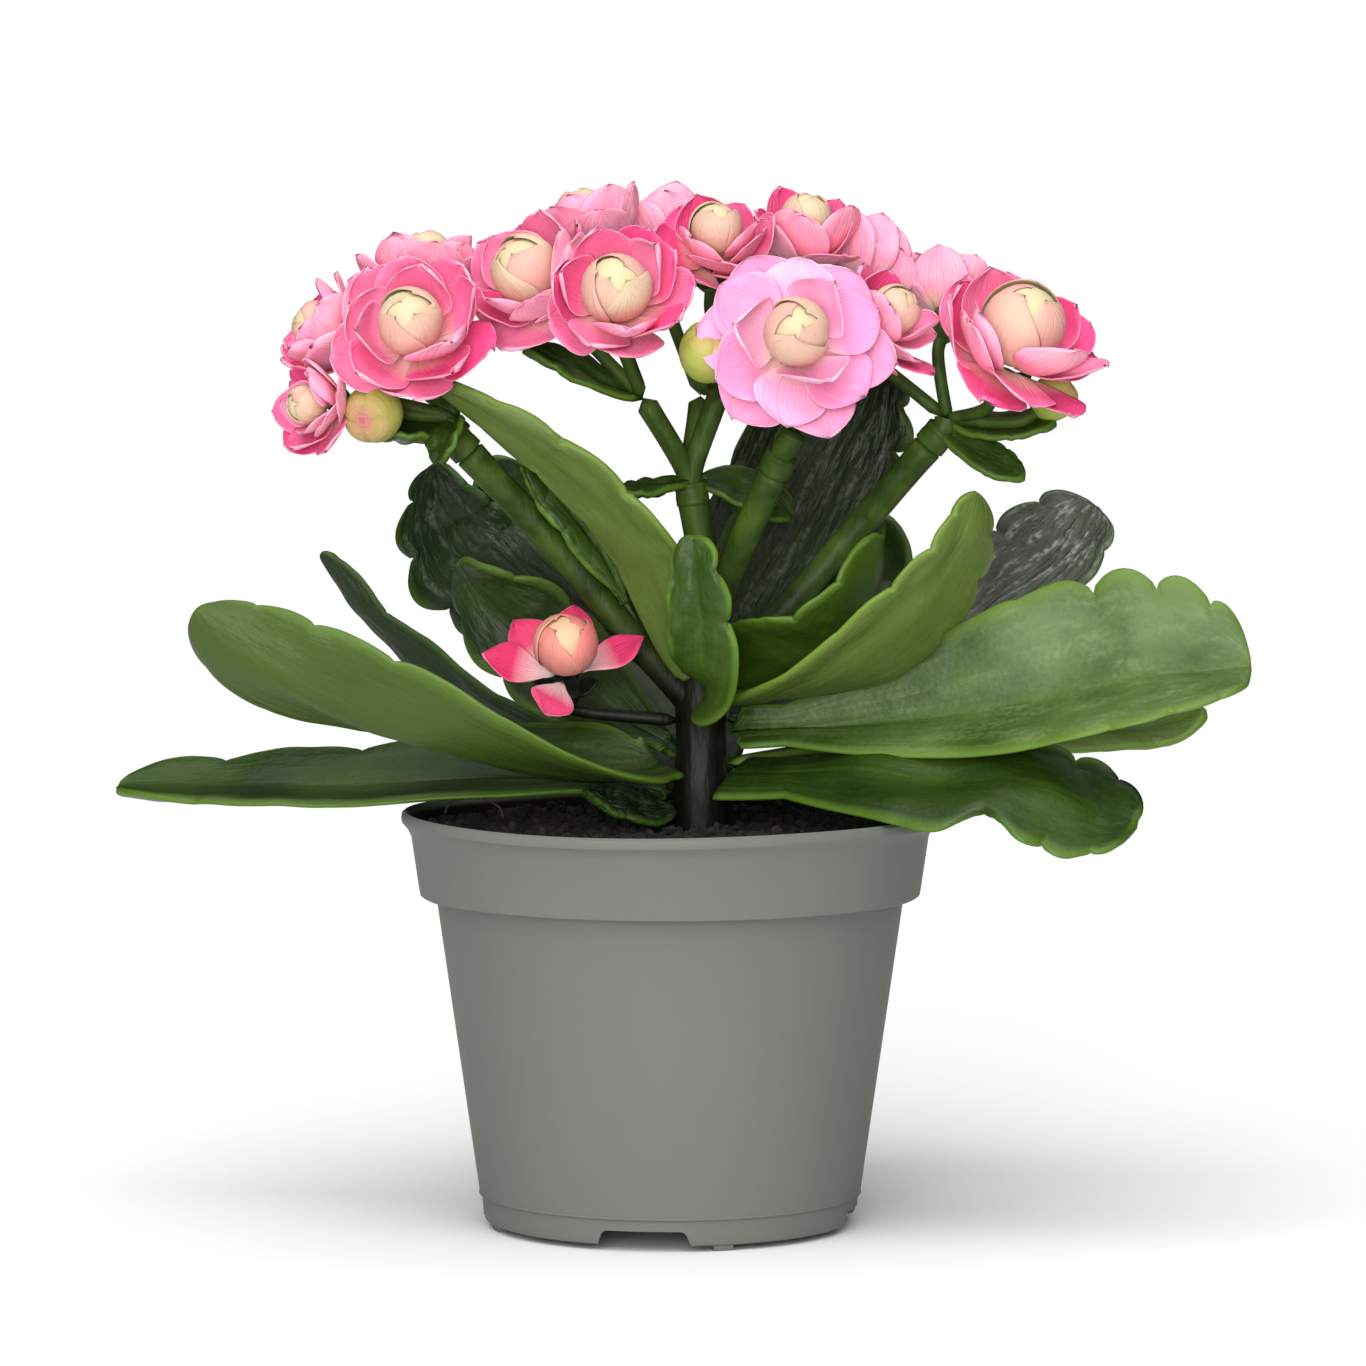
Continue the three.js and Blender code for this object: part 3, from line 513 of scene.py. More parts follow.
crumb_draw = seeded("crumbs")
crumb_count = 1500
crumb_sizes = (0.25, 0.35, 0.35, 0.5, 0.7, 1.0)
for k in range(crumb_count):
    bearing = crumb_draw.uniform(0, 2 * math.pi)
    radius = 31.2 * math.sqrt(crumb_draw.random())
    size = crumb_draw.choice(crumb_sizes)
    spot = Vector((radius * math.cos(bearing), radius * math.sin(bearing), soil_top))
    spot.z += soil_height(spot.x, spot.y) + size * 0.3
    turn = Euler([crumb_draw.uniform(0, 6.3) for _ in range(3)]).to_matrix().to_4x4()
    flat = Matrix.Diagonal((size, size * crumb_draw.uniform(0.5, 1), size * 0.6, 1))
    bmesh.ops.create_icosphere(soil_form, subdivisions=1, radius=1,
                               matrix=Matrix.Translation(spot) @ turn @ flat)

peat_finish = Finish("peat", Roughness=0.95)
peat_brown = peat_finish.blend(rgb(0.002, 0.0015, 0.001), rgb(0.011, 0.007, 0.004),
                               peat_finish.noise(700).above(0.4, 0.7))
peat_finish.feed("Base Color", peat_brown)
peat_finish.bump(peat_finish.noise(1800, 4), 0.0002)
soil = finish_piece("soil_plug", soil_form, peat_finish, ["soil"], smooth=False)
print("soil:", len(soil.data.polygons), "faces,", crumb_count, "crumbs")

# %% [markdown]
# ## Blades
# Every leaf, bract, petal and wrapped heart petal is a blade: a thin closed skin whose faces
# meet at a rounded margin. `middle(along, across)` gives the surface halfway through it, and the
# two faces stand off that surface by half its thickness.

# %% Blades
def blade(form, rows, columns, middle, thickness, tone):
    """along runs 0 to 1 from root to tip, and across -1 to 1 from margin to margin."""
    acrosses = [-math.cos(math.pi * j / columns) for j in range(columns + 1)]
    grid = [[middle(i / rows, across) for across in acrosses] for i in range(rows + 1)]
    normals = [
        [
            (row[min(j + 1, columns)] - row[max(j - 1, 0)]).cross(
                grid[min(i + 1, rows)][j] - grid[max(i - 1, 0)][j]
            ).normalized()
            for j in range(columns + 1)
        ]
        for i, row in enumerate(grid)
    ]

    def place(step, turn):
        i = round(step * rows)
        q = round(turn * 2 * columns)
        is_upper = q <= columns
        j = q if is_upper else 2 * columns - q
        across = acrosses[j]
        edge = math.sqrt(max(0.0, 1 - abs(across) ** 5)) * round_end(step)
        half = 0.5 * thickness * edge * (1 if is_upper else -1)
        rim = max(abs(across), (step - 0.8) * 5, 0)
        return grid[i][j] + normals[i][j] * half, (step, across, rim, 1 - is_upper, tone)

    skin(form, rows, 2 * columns, place)


def outline(along, broad, root_share, point, tip_share):
    """A share of the greatest width: narrow at the root, widest at broad, round at the tip."""
    power = point * broad / (1 - broad)
    curve = (along / broad) ** power * ((1 - along) / (1 - broad)) ** point
    return max(curve, root_share * (1 - along), tip_share * along)


def smooth_line(points, share):
    """A point on the smooth curve through the points (a centripetal Catmull-Rom spline)."""
    line = [Vector(point) for point in points]
    line = [2 * line[0] - line[1], *line, 2 * line[-1] - line[-2]]
    spot = limit(share) * (len(line) - 3)
    first = min(int(spot), len(line) - 4)
    near = line[first:first + 4]
    knots = [0.0]
    for a, b in zip(near, near[1:]):
        knots.append(knots[-1] + math.sqrt((b - a).length))
    at = mix(knots[1], knots[2], spot - first)

    def between(low, high, a, b):
        return a + (b - a) * ((at - knots[low]) / (knots[high] - knots[low]))

    pairs = [between(k, k + 1, near[k], near[k + 1]) for k in range(3)]
    wide = [between(0, 2, pairs[0], pairs[1]), between(1, 3, pairs[1], pairs[2])]
    return between(1, 2, *wide)


def tube(form, points, radius, rows, around, tone=0.5):
    """A round stem through the points. radius(step, angle) may vary along and around it."""
    chord = Vector(points[-1]) - Vector(points[0])
    reference = chord.orthogonal().normalized()
    frames = []
    for i in range(rows + 1):
        ahead = smooth_line(points, (i + 0.3) / rows)
        behind = smooth_line(points, (i - 0.3) / rows)
        side = (ahead - behind).cross(reference).normalized()
        up = side.cross(ahead - behind).normalized()
        frames.append((smooth_line(points, i / rows), side, up))

    def place(step, turn):
        middle, side, up = frames[round(step * rows)]
        angle = 2 * math.pi * turn
        reach = radius(step, angle) * round_end(step, 0.5 / rows, 0.5 / rows)
        spot = middle + (side * math.cos(angle) + up * math.sin(angle)) * reach
        return spot, (step, 0.0, 0.0, 0.0, tone)

    skin(form, rows, around, place)


print("blades ready")

# %% [markdown]
# One pale root fibre lies in a loop on the peat, with both ends in it.

# %% Root fibre
fibre_finish = Finish("root_fibre", Roughness=0.8)
fibre_finish.feed("Base Color", rgb(0.13, 0.075, 0.045))
fibre_radius = 0.14
fibre_line = [(-30, 10, 51.5), (-29, 12, 54), (-25.5, 13, 54.6), (-22.5, 11, 53.4), (-22, 7, 51.5)]
fibre_form = new_form()
tube(fibre_form, fibre_line, lambda step, angle: fibre_radius, 40, 8)
finish_piece("root_fibre", fibre_form, fibre_finish, ())
print("root fibre laid")

# %% [markdown]
# ## Leaf finishes
# The leaves run from nearly black, where they lie in shade and shine like wax, to a fresh light
# green. All of them have a paler thick margin, partly their own colour and partly painted light
# caught on the rounded edge, tiny pores, fine wrinkles lengthwise and a painted silvery sheen
# along the folds. The wrinkles follow the blade, so they read the blade's own attributes.

# %% Leaf finishes
def leaf_finish(name, colours, sheen, wrinkle, roughness):
    """sheen is how much of the painted silver sheen shows, and wrinkle how deep the lengthwise
    folds are.
    """
    deep, light, under, rim, painted_sheen = (rgb(*colour) for colour in colours)
    finish = Finish(name, Roughness=roughness, Specular_IOR_Level=0.22)
    along = finish.mark("along")
    across = finish.mark("across")
    folds = finish.noise(1.7, 4, finish.strips(along * 5, across * 4, finish.mark("tone")))
    clouds = finish.noise(70, 2)
    grains = finish.noise(1400, 2)
    patches = clouds * 0.8 + folds * 0.2 + grains * 0.15
    upper = finish.blend(deep, light, patches.above(0.42, 0.7))
    # Painted sheen: silvery streaks along the folds stand for light glancing off the waxy wrinkles.
    upper = finish.blend(upper, painted_sheen, folds.above(0.5, 0.72) * grains.above(0.35, 0.65) * sheen)
    lower = finish.blend(under, light, (clouds + grains * 0.2).above(0.5, 0.85) * 0.35)
    face = finish.blend(upper, lower, finish.mark("under").above(0.4, 0.6))
    middle_vein = (1 - (across * across).above(0.0, 0.004)) * (1 - along) * 0.12
    face = finish.blend(face, rim, middle_vein)
    # The paler margin is partly the leaf's own edge and partly painted light caught on the thick
    # rounded rim.
    finish.feed("Base Color", finish.blend(face, rim, finish.mark("rim").above(0.82, 1.0) * 0.75))
    finish.bump(folds * wrinkle + grains * 0.12 + finish.noise(300, 3) * 0.25, 0.0005)
    return finish


leaf_looks = {
    # deep green, light green, underside, margin and painted silver sheen, then sheen, wrinkle and
    # roughness
    "dark": ([(0.004, 0.010, 0.002), (0.012, 0.024, 0.005), (0.014, 0.027, 0.006),
              (0.045, 0.100, 0.010), (0.10, 0.115, 0.085)], 0.7, 1.3, 0.40),
    # Painted sheen: this finish's greys stand for the silvery light on dark_right's wrinkled wax.
    "painted_sheen": ([(0.022, 0.028, 0.018), (0.070, 0.080, 0.062), (0.030, 0.040, 0.024),
                (0.060, 0.100, 0.030), (0.26, 0.27, 0.24)], 1.3, 2.4, 0.36),
    "mid": ([(0.008, 0.022, 0.002), (0.024, 0.052, 0.004), (0.036, 0.070, 0.006),
             (0.085, 0.165, 0.014), (0.09, 0.13, 0.04)], 0.10, 0.3, 0.40),
    "light": ([(0.030, 0.062, 0.006), (0.066, 0.112, 0.014), (0.085, 0.130, 0.026),
               (0.125, 0.215, 0.024), (0.18, 0.24, 0.10)], 0.20, 0.25, 0.44),
    "fresh": ([(0.016, 0.038, 0.003), (0.040, 0.078, 0.008), (0.055, 0.092, 0.012),
               (0.105, 0.200, 0.018), (0.12, 0.17, 0.06)], 0.10, 0.25, 0.40),
    # Painted highlight: the paler green and silver speckles stand for the soft reflection on
    # big_right.
    "speckled_painted_sheen": ([(0.020, 0.048, 0.004), (0.085, 0.140, 0.036), (0.080, 0.125, 0.026),
                (0.110, 0.195, 0.024), (0.24, 0.31, 0.15)], 0.22, 0.25, 0.42),
    "olive": ([(0.010, 0.024, 0.003), (0.026, 0.048, 0.006), (0.046, 0.080, 0.010),
               (0.090, 0.160, 0.018), (0.09, 0.115, 0.06)], 0.35, 0.6, 0.46),
}
leaf_finishes = {
    name: leaf_finish("leaf_" + name, *looks) for name, looks in leaf_looks.items()
}
print("leaf finishes:", len(leaf_finishes))

# %% [markdown]
# ## The leaves
# A kalanchoe leaf is thick and lobed, and it grows from the trunk on a short broad stalk. Each
# one has a midrib curve, a way that its face looks, a fold along the rib and a twist. The
# numbers are those of the solids, so each blade replaces its node in place.

# %% Leaves
trunk_foot = Vector((4, 0, 32))
trunk_radius = 4.2
trunk_top_radius = 3.1
trunk_height = 44
leaf_thickness = 1.7
leaf_tip_share = 0.12


def new_leaf(name, finish, rib, face, **more):
    """A leaf with its midrib and the way it faces. base is its bearing and height on the trunk."""
    made = dict(name=name, finish=finish, rib=rib, face=face, twist=0, broad=0.6, point=0.5,
                teeth=(0.1, 0.1), fold=(10, 10), root=0.2, ripple=0.9, bites=())
    made.update(more)
    return made


def leaf_frame(leaf, forward, along):
    up = Vector(leaf["face"]).normalized()
    up = (up - forward * up.dot(forward)).normalized()
    up.rotate(Quaternion(forward, math.radians(leaf["twist"] * (along - 0.5))))
    return up, forward.cross(up)


def leaf_start(leaf):
    """Where a leaf starts: just clear of the trunk's bark."""
    if "foot" in leaf:
        return Vector(leaf["foot"])
    bearing, height = leaf["base"]
    outward = Vector((math.cos(math.radians(bearing)), math.sin(math.radians(bearing)), 0))
    bark = mix(trunk_radius, trunk_top_radius, (height - trunk_foot.z) / trunk_height)
    start = Vector((trunk_foot.x, trunk_foot.y, height)) + outward * bark
    up, side = leaf_frame(leaf, (Vector(leaf["rib"][0]) - start).normalized(), 0)
    inward = (abs(up.dot(outward)) * leaf_thickness * 0.5
              + abs(side.dot(outward)) * leaf["root"] * max(leaf["half"]))
    return start + outward * (seat_gap + inward)


def leaf_middle(leaf):
    rib = [leaf_start(leaf), *leaf["rib"]]
    wave = seeded("leaf", leaf["name"]).uniform(0, 20)

    def middle(step, across):
        along = step + 0.6 * step * (1 - step)
        spot, forward = bezier(rib, along)
        up, side = leaf_frame(leaf, forward, along)
        k = 0 if across < 0 else 1
        lobe = abs(math.sin(math.pi * leaf["lobes"] * step)) ** 0.6
        toothed = limit((step - 0.3) * 6)
        notch = leaf["teeth"][k] * 1.4 * (1 - lobe) * toothed * abs(across) ** 3
        for side_index, where, width, depth in leaf["bites"]:
            if side_index == k:
                notch += depth * math.exp(-((step - where) / width) ** 2) * abs(across) ** 4
        shape = outline(along, leaf["broad"], leaf["root"], leaf["point"], leaf_tip_share)
        shape *= round_end(step, 0.01, 0.05)
        reach = abs(across) * leaf["half"][k] * shape * (1 - notch)
        fold = math.radians(leaf["fold"][k])
        soft = abs(across) / (abs(across) + 0.12)
        ripple = noise.noise(Vector((step * 5, across * 1.5, wave))) * limit(step * 4)
        ripple *= leaf["ripple"]
        ripple += 0.45 * (lobe - 0.5) * toothed * abs(across) ** 4
        puckers = noise.noise(Vector((step * 16, across * 4, wave + 9))) * 0.22
        groove = -0.35 * math.exp(-(across / 0.07) ** 2) * (1 - step)
        lift = reach * math.sin(fold) * soft + (ripple + puckers) * shape + groove
        way = -1 if across < 0 else 1
        return spot + side * (way * reach * math.cos(fold)) + up * lift

    return middle


leaves = [
    new_leaf("left_arm", "olive", [(-5, -12, 56.5), (-47, -16, 64.5), (-60.5, -14, 81.5)],
             (-0.1, 0.4, 0.9), base=(214, 60.5), half=(11.5, 14), fold=(13, 37), twist=110,
             broad=0.55, point=0.55, teeth=(0.05, 0.05), lobes=6, root=0.35),
    new_leaf("left_low", "mid", [(-14, 2.2, 60.7), (-41, 9, 55), (-73.5, 17, 55.5)],
             (0, -0.4, 0.9), base=(172, 55.8), half=(10.5, 9.5), fold=(12, 16), twist=20,
             broad=0.75, point=0.45, teeth=(0.06, 0.16), lobes=4),
    new_leaf("left_back", "dark", [(-12, 19, 81), (-31, 24, 79.5), (-31, 26, 98.5)],
             (-0.6, -0.7, 0.4), base=(135, 71.5), half=(10.5, 9), fold=(-1, 8), twist=-25,
             broad=0.75, point=0.6, teeth=(0.24, 0.1), lobes=6),
    new_leaf("left_mid", "olive", [(-9, 3.5, 66.5), (-19, 8, 73), (-27.5, 8, 86.5)],
             (-0.7, -0.1, 0.7), base=(165, 62.5), half=(7, 9), fold=(9, 8), twist=15, broad=0.65,
             teeth=(0.22, 0.12), lobes=4),
    new_leaf("arch_left", "light", [(2, -9.4, 81), (0.5, -16, 95), (-30, -13, 110.5)],
             (0.3, 0.7, 0.6), base=(-117, 71.5), half=(4.5, 7), fold=(-2, 6), twist=-5,
             broad=0.55, teeth=(0.2, 0.12), lobes=6),
    new_leaf("front_mid", "fresh", [(5.9, -13.4, 70), (3.2, -18.5, 80), (3, -17, 91)],
             (-0.3, -0.8, 0.4), base=(-80, 68.5), half=(4.5, 5.5), fold=(8, 14), broad=0.5,
             point=0.35, teeth=(0.05, 0.22), lobes=4, root=0.45),
    new_leaf("slender", "mid", [(-8.2, -5.6, 86.5), (-11, -5.5, 92), (-19, -6, 99.5)],
             (0.3, -0.9, 0.2), foot=(-5.6, -4.6, 81.4), half=(3.3, 3), fold=(14, 11), twist=20,
             broad=0.65, point=0.6, lobes=4),
    new_leaf("tall_right", "dark", [(13.5, 14, 81), (21, 18.5, 97), (28.5, 16, 112)],
             (-0.1, -0.9, 0.3), base=(84, 70), half=(9.5, 11), fold=(5, 5), twist=-15, broad=0.55,
             point=0.45, teeth=(0.1, 0.22), lobes=6),
    new_leaf("tall_back", "dark", [(3, 25, 72), (9, 33, 89), (15, 33, 106)], (-0.5, -0.8, 0.4),
             base=(107, 67.5), half=(6, 6), fold=(6, 8), point=0.45, teeth=(0.12, 0.12), lobes=3),
    new_leaf("right_small", "mid", [(14, -4.5, 75), (24, -10, 71), (26.5, -10, 91)],
             (-0.3, 0.7, 0.6), base=(0, 70), half=(7, 11), fold=(14, 4), twist=50, broad=0.45,
             point=0.55, teeth=(0.12, 0.12), lobes=4),
    new_leaf("pale_right", "light", [(17, -16.5, 69.5), (36.5, -18, 80.5), (39, -14, 96.5)],
             (-0.6, 0.6, 0.5), base=(-40, 69), half=(10, 6.5), fold=(-2, 6), twist=-20,
             broad=0.55, point=0.55, teeth=(0.18, 0.12), lobes=6),
    new_leaf("dark_right", "painted_sheen", [(29, 13, 66.5), (44, 22, 79.5), (57, 26, 92.5)],
             (-0.4, -0.7, 0.6), base=(22, 66), half=(10, 10), fold=(11, 13), twist=25, broad=0.65,
             point=0.35, teeth=(0.14, 0.1), lobes=6),
    new_leaf("big_right", "speckled_painted_sheen", [(48, -9, 66), (54.5, -14, 74), (74.5, -13, 73.5)],
             (-0.5, -0.8, 0.4), base=(-12, 64.5), half=(15, 14), fold=(20, 40), twist=-15,
             broad=0.65, point=0.45, teeth=(0.12, 0.05), lobes=6, root=0.25),
    new_leaf("right_back_under", "light", [(35, 20, 64), (59.5, 28, 58), (72, 28, 65)], (0, 0, 1),
             base=(40, 60), half=(9, 10), fold=(6, 0), twist=25, lobes=3),
    new_leaf("low_right", "mid", [(24, -14, 60.5), (44, -21, 62), (59.5, -22, 55)],
             (0, -0.5, 0.9), base=(-38, 59), half=(10.5, 12), fold=(0, -8), twist=10, broad=0.7,
             point=0.4, teeth=(0.12, 0.1), lobes=6, root=0.5, bites=[(1, 0.5, 0.07, 0.35)],
             ripple=2.6),
    new_leaf("left_tip_back", "dark", [(-15, 14, 59.5), (-36, 29, 67), (-47, 33, 86)],
             (0.8, 0.2, 0.6), base=(143, 58), half=(4.5, 4.5), fold=(35, 35), twist=30, lobes=3),
    new_leaf("rim_left", "dark", [(-2, -4.5, 54.2), (-6, -6, 55.5), (-11, -7, 57.5)],
             (0.2, -0.5, 0.8), base=(212, 54.2), half=(4, 3.5), lobes=4),
    new_leaf("back_left", "mid", [(-7, 19, 67.5), (-18.5, 34, 79), (-24, 31, 99)],
             (0.2, -0.8, 0.5), base=(120, 61), half=(9, 9), teeth=(0.15, 0.15), lobes=3),
    new_leaf("back_mid", "mid", [(2, 18, 56), (0, 34, 64), (-4, 34.7, 84)], (0, -0.7, 0.7),
             base=(95, 56.5), half=(10, 10), fold=(8, 8), teeth=(0.15, 0.15), lobes=3),
    new_leaf("back_right", "mid", [(12, 20, 72), (25, 33, 74), (29, 34, 91)], (-0.2, -0.8, 0.5),
             base=(80, 64), half=(9, 9), teeth=(0.15, 0.15), lobes=3),
]

for leaf in leaves:
    leaf_form = new_form()
    blade(leaf_form, 96, 20, leaf_middle(leaf), leaf_thickness * 0.9,
          seeded("tone", leaf["name"]).random())
    finish_piece("blade_" + leaf["name"], leaf_form, leaf_finishes[leaf["finish"]],
                 ["leaf_" + leaf["name"]])
print("leaves:", len(leaves))

# %% [markdown]
# ## The blooms
# A double bloom has layers of petals round a heart of petals that are still wrapped. Each bloom
# has the middle of its heart, the way it faces, its reach and how far it has opened, as in the
# solids. Its petals close or shorten until they keep to their own side of the planes between
# neighbouring blooms, which is how crowded petals press against each other.

# %% Blooms and buds
def bloom(name, middle, faces, reach, opened, **more):
    made = dict(name=name, middle=Vector(middle), axis=Vector(faces).normalized(), reach=reach,
                open=opened, petals=(5, 5, 3), turn=40 * middle[0], turns=None, lengths=None,
                swell=1, slim=1, point=0.55, press=0.6)
    made.update(more)
    made["scale"] = reach / 12
    made["at"] = made["middle"] - made["axis"] * (heart_height * made["scale"])
    made["stalk_end"] = 4 * made["scale"]
    return made


heart_height = 6.4
blooms = [
    bloom("left_front", (-33, -16, 118.1), (-0.1, -0.85, 0.5), 12, 0.35, truss="left", turn=-159,
          swell=1.12),
    bloom("left_top", (-31.7, 0, 126), (0, 0.3, 0.95), 11, 0.3, truss="left"),
    bloom("left_back", (-45.5, -5, 117.4), (-0.85, -0.15, 0.5), 10, 0.3, truss="left"),
    bloom("left_low", (-46.5, -12, 107.4), (-0.8, -0.55, 0.1), 8, 0.2, truss="left"),
    bloom("centre_left", (-18.5, -10, 124.6), (-0.5, -0.6, 0.6), 12, 0.4, truss="centre", turn=-88,
          swell=1.18),
    bloom("centre_top_left", (-11.5, 5, 131.5), (-0.3, 0.2, 0.95), 11, 0.6, truss="centre"),
    bloom("centre_front", (-6.7, -18, 122.4), (0, -0.85, 0.5), 11, 0.15, truss="centre", turn=-75,
          swell=1.28),
    bloom("centre_back", (-0.5, 15, 130), (0, 0.6, 0.8), 11, 0.6, truss="centre"),
    bloom("centre_right", (5.8, -8, 129.9), (0.05, -0.5, 0.85), 10.5, 0.6, truss="centre"),
    bloom("top_right", (17.6, 1, 131.1), (0.1, -0.2, 0.97), 10.5, 0.55, truss="centre"),
    bloom("front_open", (16, -24, 117), (0.05, -0.93, 0.35), 13.5, 1, truss="front",
          petals=(6, 6, 3), turn=-68, slim=0.92, point=0.75, press=3),
    bloom("front_side", (28.8, -10, 119.5), (0.6, -0.35, 0.6), 10, 0.5, truss="front"),
    bloom("right_top", (27.6, 8, 127), (0.4, 0.3, 0.85), 10.5, 0.6, truss="far"),
    bloom("right_main", (45.3, -9, 117.5), (0.3, -0.5, 0.75), 13, 0.75, truss="far", turn=-77,
          swell=1.35, petals=(6, 6, 4)),
    bloom("right_back", (36.5, 8, 122.5), (0.15, 0.55, 0.8), 10, 0.5, truss="far"),
    bloom("low", (-13.4, -11.5, 76.6), (0, -0.72, 0.69), 11.5, 0.7, truss="stem",
          petals=(5, 0, 0), turns=(174, 133, 84, 24, -110), lengths=(1, 0.9, 0.9, 1, 0.6),
          slim=0.62, swell=1.12, point=1),
]


def bud(at, faces, size, truss):
    return dict(at=Vector(at), axis=Vector(faces).normalized(), size=size, truss=truss,
                stalk_end=2.4 * size, scale=size * 0.3, reach=size * 4)


buds = [
    bud((-37.5, -11.5, 106.5), (-0.35, -0.9, -0.2), 0.95, "left"),
    bud((4.8, -14.5, 113.5), (0.15, -0.65, 0.75), 0.95, "centre"),
    bud((49, -1.5, 107.5), (0.8, 0.1, 0.6), 0.75, "far"),
]
print("blooms:", len(blooms), "buds:", len(buds))


# %% Petals
petal_layers = [
    dict(root=0, half=4.9, cup=0.12, swells=0, closed=((6.9, 0.6), (7.2, 9)),
         cupped=((7.6, 0.5), (10.2, 7.4)), open=((6.8, 0.2), (12.0, 0.8))),
    dict(root=0.75, half=4.6, cup=0.22, swells=0.5, closed=((6.3, 1.7), (6.7, 9.4)),
         cupped=((6.7, 1.7), (8.4, 9.4)), open=((6.4, 1.4), (10.6, 2.6))),
    dict(root=1.5, half=4.6, cup=0.42, swells=1, closed=((5.6, 2.5), (6.1, 9.4)),
         cupped=((5.6, 2.5), (6.1, 9.4)), open=((5.6, 2.4), (6.6, 8))),
]
petal_thickness = 0.32
petal_foot_radius = 1.9


def outward(axis, turn):
    """The way off an axis, at a turn round it that starts from the level."""
    out = Vector((0, 0, 1)).cross(axis).normalized()
    out.rotate(Quaternion(axis, turn))
    return out


def petal_middle(flower, layer, turn, closing, length, wave, lean):
    axis = flower["axis"]
    out = outward(axis, turn)
    scale = flower["scale"]
    roomy = mix(1, flower["swell"], layer["swells"])

    def knee(k):
        radius = mix(layer["cupped"][k][0], layer["open"][k][0], flower["open"]) * roomy
        radius = mix(radius, layer["closed"][k][0] * flower["swell"], closing)
        height = mix(layer["cupped"][k][1], layer["open"][k][1], flower["open"])
        height = mix(height, layer["closed"][k][1], closing)
        return flower["at"] + (out * radius + axis * height) * scale

    foot = flower["at"] + (out * (petal_foot_radius * 0.6) + axis * layer["root"]) * scale
    rib = [foot, knee(0), knee(1)]
    side = axis.cross(out)
    broadest = layer["half"] * flower["slim"] * scale

    def middle(step, across):
        along = step ** 0.8
        spot, forward = bezier(rib, along * length)
        inner = forward.cross(side).normalized()
        width = broadest * outline(along, 0.6, 0.25, flower["point"], 0.12)
        width *= round_end(step, 0.01, 0.07)
        ripple = noise.noise(Vector((along * 2.2, across * 1.3, wave))) * 0.9 * along
        ripple += noise.noise(Vector((along * 6, across * 4, wave))) * 0.25 * abs(across) * along
        curl = -0.9 * max(0.0, along - 0.6) ** 2 * 4 * (1 - closing)
        lift = layer["cup"] * width * across * across + lean * across * width
        lift += (ripple + curl) * scale
        return spot - side * (across * width) + inner * lift

    return middle


def heart_of(flower):
    return flower["at"] + flower["axis"] * (4 * flower["scale"])


def clear_petal(flower, layer, turn, closing, length, wave, lean):
    """Closes and then shortens a petal until it is clear of the neighbouring blooms."""
    middle = heart_of(flower)
    limits = []
    for other in blooms + buds:
        if other is not flower:
            away = heart_of(other) - middle
            share = flower["reach"] / (flower["reach"] + other["reach"])
            limits.append((away.normalized(), away.length * share + flower["press"]))

    def is_clear(surface):
        spots = [surface(along, across) - middle
                 for along in (0.4, 0.6, 0.8, 1) for across in (-1, -0.5, 0, 0.5, 1)]
        return all(spot.dot(way) < most for spot in spots for way, most in limits)

    surface = petal_middle(flower, layer, turn, closing, length, wave, lean)
    while not is_clear(surface) and length > 0.5:
        if closing < 1:
            closing = min(1.0, closing + 0.1)
        else:
            length -= 0.1
        surface = petal_middle(flower, layer, turn, closing, length, wave, lean)
    return turn, closing, surface


print("petal layers:", len(petal_layers))

# %% [markdown]
# The petals' pink is strongest near the tip and pales to cream at the foot. Their backs are
# paler, and a fine light line runs round every edge.

# %% Petal finishes
def petal_finish(name, strong, soft, base, edge, reach_of_base):
    finish = Finish(name, Roughness=0.55, Specular_IOR_Level=0.25)
    along = finish.mark("along")
    across = finish.mark("across")
    tone = finish.mark("tone")
    veins = finish.noise(1.4, 3, finish.strips(along * 1.5, across * 9, tone))
    clouds = finish.noise(220, 2)
    shade = veins * 0.25 + clouds * 0.5 + tone * 0.8 + along * 0.25
    pink = finish.blend(soft, strong, shade.above(0.35, 1.25))
    back = finish.blend(soft, base, (veins * 0.6 + clouds * 0.4).above(0.35, 0.7) * 0.35)
    face = finish.blend(pink, back, finish.mark("under").above(0.4, 0.6))
    foot = 1 - along.above(0.0, reach_of_base)
    face = finish.blend(face, base, foot * 0.95)
    finish.feed("Base Color", finish.blend(face, edge, finish.mark("rim").above(0.95, 1.0) * 0.7))
    finish.bump(veins * 0.6 + clouds * 0.5, 0.0003)
    return finish


petal_pink = petal_finish("petal_pink", rgb(0.76, 0.070, 0.23), rgb(0.89, 0.29, 0.48),
                          rgb(0.88, 0.66, 0.48), rgb(0.93, 0.52, 0.60), 0.4)
petal_lilac = petal_finish("petal_lilac", rgb(0.84, 0.25, 0.46), rgb(0.90, 0.50, 0.70),
                           rgb(0.90, 0.70, 0.56), rgb(0.92, 0.60, 0.72), 0.35)
petal_red = petal_finish("petal_red", rgb(0.58, 0.026, 0.11), rgb(0.72, 0.12, 0.26),
                         rgb(0.84, 0.70, 0.64), rgb(0.78, 0.22, 0.30), 0.5)
heart_cream = petal_finish("heart_cream", rgb(0.66, 0.36, 0.30), rgb(0.60, 0.54, 0.33),
                           rgb(0.42, 0.52, 0.18), rgb(0.72, 0.28, 0.30), 0.5)
heart_rose = petal_finish("heart_rose", rgb(0.66, 0.17, 0.17), rgb(0.60, 0.45, 0.28),
                          rgb(0.46, 0.52, 0.20), rgb(0.68, 0.20, 0.20), 0.5)
petal_finishes = {"front_open": petal_lilac, "low": petal_red}
heart_finishes = {"low": heart_rose}
print("petal finishes:", len(petal_finishes) + 1, "and for hearts:", len(heart_finishes) + 1)

